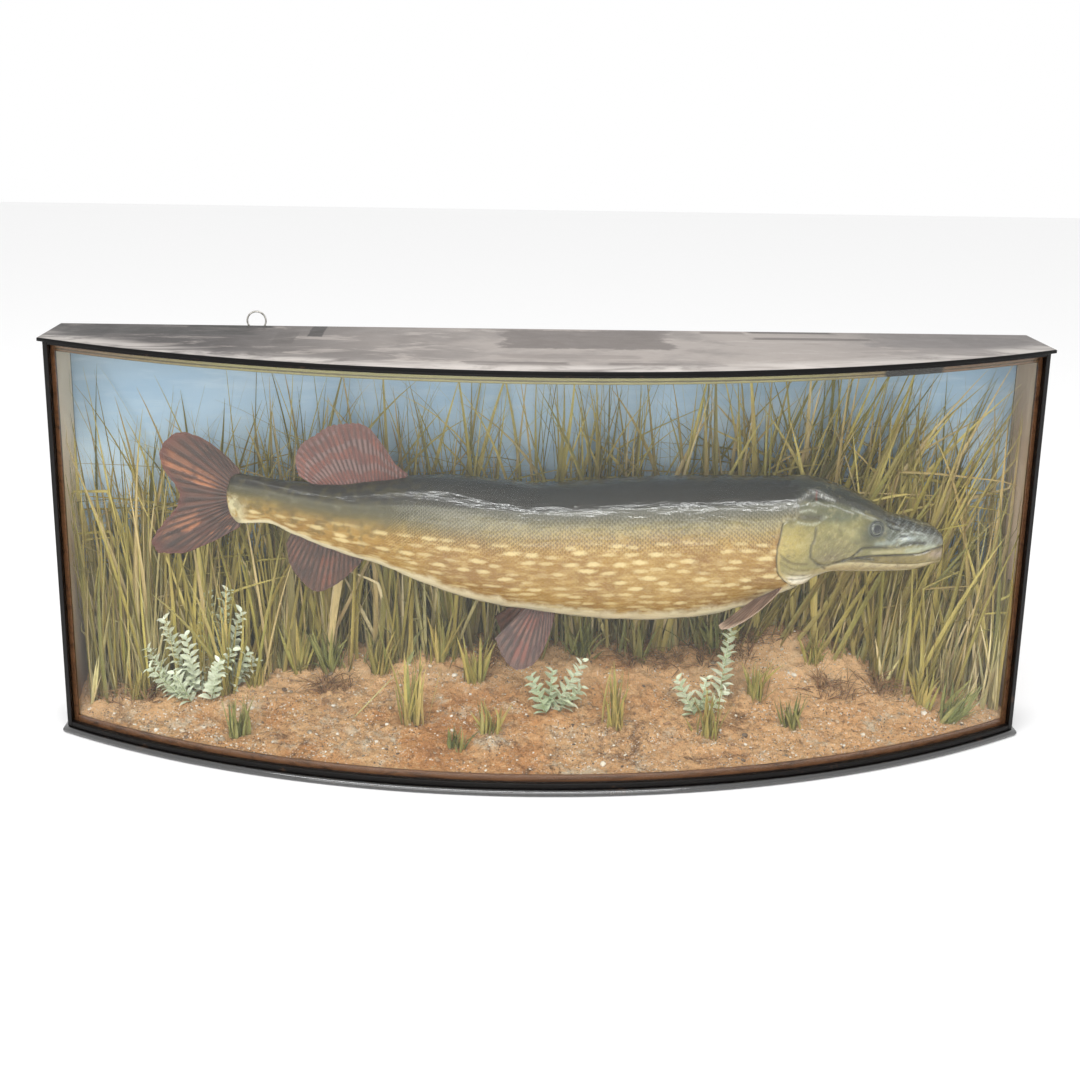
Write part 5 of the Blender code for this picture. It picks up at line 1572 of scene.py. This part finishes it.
def grow_blades(name, blades, finish, behind=None):
    """Folded ribbons, one for each (x, y, height, lean, arch, forward, half width, tone, kink).

    Blades don't come forward of the depth that behind names.
    """
    steps = 14
    x, y, tall, lean, arch, forward, wide, tone, kink = np.array(blades, float).T[..., None]
    t = np.linspace(0, 1, steps)[None, :]
    bent = np.maximum(0, t - 0.62) * kink
    rise = tall * (t * np.sqrt(np.maximum(0.2, 1 - lean**2)) - 0.45 * np.abs(arch) * t**3
                   - 0.9 * np.abs(bent))
    foot = sand_level(x, y) - 0.004
    path = np.stack((x + tall * (lean * t + arch * t**2.2 + bent), y + tall * forward * t**1.6,
                     foot + rise), -1)
    path = inside_case(path)
    if behind is not None:
        path[..., 1] = np.maximum(path[..., 1], behind)
    girth = wide * (0.70 + 0.42 * np.sin(math.pi * np.minimum(1, t * 1.1 + 0.12))) * (1 - t**3.6)
    edges = [(i, i + 1) for i in range(len(path) * steps - 1) if (i + 1) % steps]
    twist = rng.uniform(-1.1, 1.1, x.shape) + 0.9 * t * rng.uniform(-1, 1, x.shape)
    guide = guide_mesh(path.reshape(-1, 3), edges, girth=(girth + 0.00012).ravel(),
                       tone=(tone + 0 * t).ravel(), along=(0 * x + t).ravel(),
                       twist=twist.ravel())
    tree = Tree(name, Fold=0.45, Finish=finish)
    curve = tree.node("GeometryNodeMeshToCurve", {0: tree.entry["Guide"]})
    curve = tree.node("GeometryNodeSetCurveTilt",
                      {"Curve": curve, "Tilt": tree.read("twist", "FLOAT")})
    girths = tree.read("girth", "FLOAT")
    curve = tree.node("GeometryNodeSetCurveRadius", {"Curve": curve, "Radius": girths})
    middle = tree.node("ShaderNodeCombineXYZ", {1: tree.entry["Fold"]})
    profile = tree.node("GeometryNodeCurveQuadraticBezier", {
        "Resolution": 2, "Start": (-1.0, 0, 0), "Middle": middle, "End": (1.0, 0, 0)})
    feeds = {"Curve": curve, "Profile Curve": profile, "Scale": girths}
    ribbon = tree.node("GeometryNodeCurveToMesh", feeds)
    add_mesh(name, tree.run(name, ribbon, guide), finish, "sand", angle=180, tidy=False)


REED_END = 0.635  # no blade leans out past this, left or right


def grown(r, count, x, y, height, lean, width, arch=0.06, forward=0.03, kinked=0.0):
    """Blades in a patch. x, y, height and width are ranges, lean a middle and a spread."""
    made = []
    for _ in range(count):
        px, tall = r.uniform(*x), r.uniform(*height)
        px += 0.011 * math.sin(75 * px) + 0.009 * math.sin(31 * px + 1.0)
        tilt = r.gauss(*lean)
        tilt = min(max(tilt, (-REED_END - px) / tall), (REED_END - px) / tall)
        kink = r.choice((-1, 1)) * r.uniform(0.5, 1.3) if r.random() < kinked else 0.0
        made.append((px, CHORD_Y + r.uniform(*y), tall, tilt, r.gauss(0, arch),
                     r.gauss(0, forward), r.uniform(*width), r.random(), kink))
    return made


REED_BEDS = (  # piece, finish, how far it keeps behind the chord, then its patches as grown()'s
    ("reeds_tall", "dry_reed", 0.048, (
        (330, (-0.632, 0.632), (0.050, 0.103), (0.27, 0.42), (0.02, 0.11), (0.0020, 0.0050),
         0.11, 0.03, 0.14),
        (175, (-0.08, 0.632), (0.056, 0.103), (0.37, 0.47), (0.05, 0.13), (0.0021, 0.0050),
         0.18, 0.03, 0.20),
        (100, (-0.632, -0.16), (0.056, 0.103), (0.34, 0.46), (0.00, 0.13), (0.0015, 0.0032),
         0.18, 0.03, 0.35),
        (22, (-0.45, -0.28), (0.052, 0.090), (0.28, 0.40), (0.05, 0.08), (0.0036, 0.0056), 0.03),
        (60, (0.05, 0.60), (0.052, 0.100), (0.28, 0.45), (0.12, 0.16), (0.0032, 0.0050),
         0.06, 0.03, 0.06),
        (16, (-0.46, -0.37), (0.070, 0.103), (0.40, 0.47), (0.02, 0.16), (0.0026, 0.0046),
         0.14, 0.03, 0.3),
        (26, (-0.34, -0.12), (0.070, 0.103), (0.40, 0.47), (0.02, 0.12), (0.0024, 0.0044),
         0.14, 0.03, 0.2))),
    ("reeds_corner", "dry_reed", 0.012, (
        (230, (-0.635, -0.40), (0.018, 0.103), (0.20, 0.37), (-0.03, 0.10), (0.0013, 0.0030),
         0.06, 0.03, 0.1),
        (150, (0.24, 0.50), (0.040, 0.103), (0.30, 0.47), (0.38, 0.10), (0.0020, 0.0046),
         0.10, 0.03, 0.15),
        (130, (0.44, 0.632), (0.018, 0.103), (0.16, 0.36), (0.12, 0.14), (0.0014, 0.0034),
         0.08, 0.03, 0.15))),
    ("reeds_low", "under_reed", 0.020, (
        (760, (-0.635, 0.632), (0.058, 0.104), (0.07, 0.24), (0.0, 0.16), (0.0012, 0.0032),
         0.06, 0.05, 0.15),
        (170, (-0.635, -0.46), (0.020, 0.080), (0.05, 0.20), (0.0, 0.16), (0.0011, 0.0026)),
        (150, (0.48, 0.632), (0.020, 0.080), (0.05, 0.16), (0.05, 0.16), (0.0011, 0.0026)))),
    ("reed_stems", "thin_stem", 0.050, (
        (170, (-0.61, 0.61), (0.060, 0.104), (0.34, 0.47), (0.04, 0.18), (0.0006, 0.0011),
         0.26, 0.02, 0.25),)),
    ("low_leaves", "low_leaf", 0.044, (
        (230, (-0.42, 0.52), (0.050, 0.090), (0.025, 0.080), (0.0, 0.30), (0.0015, 0.0034),
         0.15, 0.15),)))
MOSS = ((-0.285, 0.010, 0.030), (-0.560, 0.020, 0.040), (0.245, 0.035, 0.040),  # x, y, spread
        (0.300, 0.060, 0.045), (0.465, 0.020, 0.035), (-0.060, 0.040, 0.030),
        (0.395, 0.000, 0.025), (0.150, 0.035, 0.030))
STRAWS = ((-0.265, CHORD_Y - 0.060, 0.135, 0.70, 0.05, 0.35, 0.0007, 0.6, 0.0),  # as blades
          (-0.560, CHORD_Y + 0.010, 0.120, 0.75, 0.10, 0.20, 0.0007, 0.5, 0.0),
          (-0.250, CHORD_Y - 0.010, 0.110, 0.55, -0.10, 0.30, 0.0006, 0.7, 0.0))


def make_reeds():
    """The reed bed along the back, wisps of brown moss at its foot, and fallen straws."""
    r = random.Random(23)
    finishes = {look: blade_finish(look)
                for look in ("dry_reed", "under_reed", "thin_stem", "low_leaf", "brown_moss")}
    for name, look, behind, patches in REED_BEDS:
        blades = [blade for patch in patches for blade in grown(r, *patch)]
        grow_blades(name, blades, finishes[look], CHORD_Y + behind)
    wisps = []
    for x, y, spread in MOSS:
        wisps += grown(r, 120, (x - spread, x + spread), (y - 0.014, y + 0.014), (0.014, 0.042),
                       (0.0, 0.7), (0.0004, 0.0009), arch=0.5, forward=0.5, kinked=0.4)
    grow_blades("moss_wisps", wisps, finishes["brown_moss"])
    grow_blades("straws", STRAWS, finishes["thin_stem"])


TUFTS = (  # x, y from the chord, height, spread, blades, dark
    (-0.180, -0.08, 0.095, 0.10, 38, 0), (-0.098, 0.00, 0.062, 0.20, 38, 0),
    (-0.122, -0.13, 0.030, 0.25, 30, 1), (-0.080, -0.10, 0.040, 0.30, 34, 0),
    (0.087, -0.09, 0.070, 0.13, 38, 0), (0.130, 0.04, 0.055, 0.20, 34, 1),
    (0.210, -0.10, 0.060, 0.18, 34, 0), (0.290, -0.02, 0.050, 0.22, 38, 0),
    (0.330, -0.07, 0.042, 0.22, 32, 1), (0.375, 0.03, 0.048, 0.22, 34, 0),
    (0.430, 0.07, 0.055, 0.25, 34, 0), (0.525, 0.01, 0.058, 0.20, 40, 0),
    (0.550, -0.02, 0.065, 0.20, 44, 1), (-0.560, 0.02, 0.048, 0.20, 34, 0),
    (-0.440, 0.01, 0.150, 0.16, 44, 0), (-0.410, -0.08, 0.055, 0.10, 30, 1),
    (-0.400, 0.03, 0.050, 0.25, 34, 0), (-0.230, 0.04, 0.060, 0.22, 36, 0),
    (-0.020, 0.045, 0.050, 0.25, 34, 1), (0.050, 0.045, 0.055, 0.25, 34, 1),
    (-0.300, 0.05, 0.060, 0.25, 34, 1), (-0.340, 0.055, 0.075, 0.20, 34, 0),
    (0.235, 0.045, 0.060, 0.25, 34, 1), (-0.150, 0.05, 0.070, 0.25, 34, 0))


def make_tufts():
    """Short tufts of grass that stand in the sand before the fish."""
    r = random.Random(5)
    swept = (0.550, -0.02)  # this tuft leans over to the right
    for dark, (name, look) in enumerate((("tufts_green", "tuft_grass"),
                                         ("tufts_dark", "dark_grass"))):
        blades = []
        for x, y, tall, spread, count, kind in TUFTS:
            bias = 0.55 if (x, y) == swept else 0.0
            blades += [(x + r.gauss(0, 0.0062), CHORD_Y + y + r.gauss(0, 0.004),
                        tall * r.uniform(0.55, 1.3), r.gauss(bias, spread), r.gauss(0, 0.10),
                        r.gauss(0, 0.12), r.uniform(0.0012, 0.0025), r.random(), 0.0)
                       for _ in range(count if kind == dark else 0)]
        grow_blades(name, blades, blade_finish(look))


def leaf_finish():
    """Pale, dusty leaves, each its own tone."""
    f = Finish("sprig_leaf", Specular_IOR_Level=0.3)
    base = f.ramp(f.attribute("tone", "Fac"), (0.0, "d8e4c4"), (0.5, "f4f7e4"), (1.0, "e2ead0"))
    f.paint(f.mix(f.patch(220, 0.45, 0.7, 0.35), base, "bccba6"), 0.6)
    f.bump(f.noise(600), 0.0004)
    return f.material


SPRIGS = (  # x, y from the chord, height, lean across, lean forward
    (-0.470, 0.035, 0.135, 0.05, 0.0), (-0.488, 0.030, 0.115, -0.30, -0.1),
    (-0.452, 0.030, 0.120, 0.32, -0.1), (-0.494, 0.010, 0.070, -0.85, -0.2),
    (-0.458, 0.004, 0.066, 0.22, -0.2), (-0.466, 0.015, 0.085, 0.55, -0.2),
    (-0.480, 0.022, 0.095, -0.10, -0.2), (-0.445, 0.018, 0.075, 0.60, -0.1),
    (-0.505, 0.020, 0.080, -0.55, 0.0), (-0.460, 0.028, 0.145, 0.18, 0.0),
    (-0.484, 0.006, 0.054, -0.45, -0.2), (-0.440, 0.028, 0.060, 0.95, -0.1),
    (0.000, -0.065, 0.060, -0.40, 0.0), (0.006, -0.060, 0.085, 0.55, 0.0),
    (0.004, -0.055, 0.055, 0.05, 0.1), (0.012, -0.058, 0.050, 0.95, 0.0),
    (0.200, -0.062, 0.058, -0.50, 0.1), (0.206, -0.055, 0.052, 0.15, 0.0),
    (0.212, -0.056, 0.046, 0.75, 0.0), (0.236, -0.022, 0.105, 0.12, 0.0))


def make_sprigs():
    """Pale leafy sprigs: stems with leaves in crossed pairs."""
    r = random.Random(8)
    rows = []
    for t in np.linspace(0, 1, 6):
        wide = 0.28 * math.sin(math.pi * t**0.8)**0.9 if 0 < t < 1 else 0.01
        rows.append([(t, side * wide, 0.35 * abs(side) * wide - 0.16 * t * t)
                     for side in (-1, 0, 1)])
    leaf = pattern_object(np.reshape(rows, (-1, 3)), grid_faces(6, 3))
    seats, turned, size, tone, stalks = [], [], [], [], []
    for x, y, tall, lean, forward in SPRIGS:
        foot = Vector((x, CHORD_Y + y, float(sand_level(x, CHORD_Y + y)) - 0.003))
        up = Vector((lean, forward, 1.0)).normalized()
        stalks.append((x, CHORD_Y + y, tall, up.x, 0.0, up.y, 0.0007, 0.3, 0.0))
        shade, pairs = r.random(), max(5, round(tall / 0.0055))
        for k in range(2 * pairs):
            t = (k // 2 + 0.8) / pairs
            side = up.orthogonal().normalized()
            round_stem = math.pi * (k % 2 + k // 2 / 2) + r.uniform(-0.3, 0.3)
            side.rotate(Matrix.Rotation(round_stem, 3, up))
            x_axis = (side + up * r.uniform(0.45, 0.85)).normalized()
            y_axis = up.cross(x_axis).normalized()
            turned.append(turned_to(x_axis, y_axis, x_axis.cross(y_axis)))
            seats.append(tuple(foot + up * tall * t))
            long = 0.0205 * (1.08 - 0.45 * t) * r.uniform(0.8, 1.1)
            size.append((long, long * 1.1, long))
            tone.append(min(1, max(0, shade + r.uniform(-0.25, 0.25))))
    repeat_pattern("sprig_leaves", leaf, leaf_finish(), "sand", seats, turned, size, angle=180,
                   tone=tone)
    grow_blades("sprig_stalks", stalks, blade_finish("sprig_stalk"))


# ---------------------------------------------------------------- camera, lights and floor

def make_view():
    """The camera: before the case and above it, tilted down, turned and rolled a little."""
    yaw, pitch, roll = 0.03765, 0.28004, 0.01821
    ahead = Vector((math.sin(yaw) * math.cos(pitch), math.cos(yaw) * math.cos(pitch),
                    -math.sin(pitch)))
    level = Vector((math.cos(yaw), -math.sin(yaw), 0))
    up = level.cross(ahead)
    right = math.cos(roll) * level + math.sin(roll) * up
    top = -math.sin(roll) * level + math.cos(roll) * up
    camera = bpy.data.cameras.new("camera")
    camera.lens, camera.sensor_width = 54.06, 36
    made = bpy.data.objects.new("camera", camera)
    made.matrix_world = Matrix(((right.x, top.x, -ahead.x, -0.0900),
                                (right.y, top.y, -ahead.y, CHORD_Y - 2.0846),
                                (right.z, top.z, -ahead.z, 0.8786), (0, 0, 0, 1)))
    scene.collection.objects.link(made)
    scene.camera = made


def add_light(name, place, aim, size, power):
    """A soft rectangular light, aimed at a place."""
    lamp = bpy.data.lights.new(name, "AREA")
    lamp.shape, lamp.size, lamp.size_y, lamp.energy = "RECTANGLE", size[0], size[1], power
    made = bpy.data.objects.new(name, lamp)
    made.location = place
    made.rotation_euler = (Vector(aim) - Vector(place)).to_track_quat("-Z", "Y").to_euler()
    scene.collection.objects.link(made)


def make_studio():
    """White surroundings, two soft lights and a pale floor."""
    world = bpy.data.worlds.new("studio")
    world.use_nodes = True
    back = world.node_tree.nodes["Background"]
    back.inputs[0].default_value = (1.0, 1.0, 1.0, 1.0)
    back.inputs[1].default_value = 1.0
    scene.world = world
    add_light("window", (-0.5, -2.35, 2.95), (0.0, -0.05, 0.30), (4.4, 0.34), 95)
    add_light("front", (-0.5, -3.8, 0.95), (0.0, 0.05, 0.25), (4.6, 1.5), 58)
    plain = Finish("floor", Roughness=0.9, Base_Color=(0.9, 0.9, 0.9))
    floor = bpy.data.meshes.new("floor")
    floor.from_pydata([(-9, -9, 0), (9, -9, 0), (9, 9, 0), (-9, 9, 0)], [], [(0, 1, 2, 3)])
    floor.materials.append(plain.material)
    made = bpy.data.objects.new("floor", floor)
    scene.collection.objects.link(made)
    scene.view_settings.view_transform = "Standard"


make_case()
make_hangers()
make_skin()
make_scales()
make_fins()
make_eyes()
make_rods()
make_ground()
scatter_stones()
make_reeds()
make_tufts()
make_sprigs()
make_view()
make_studio()
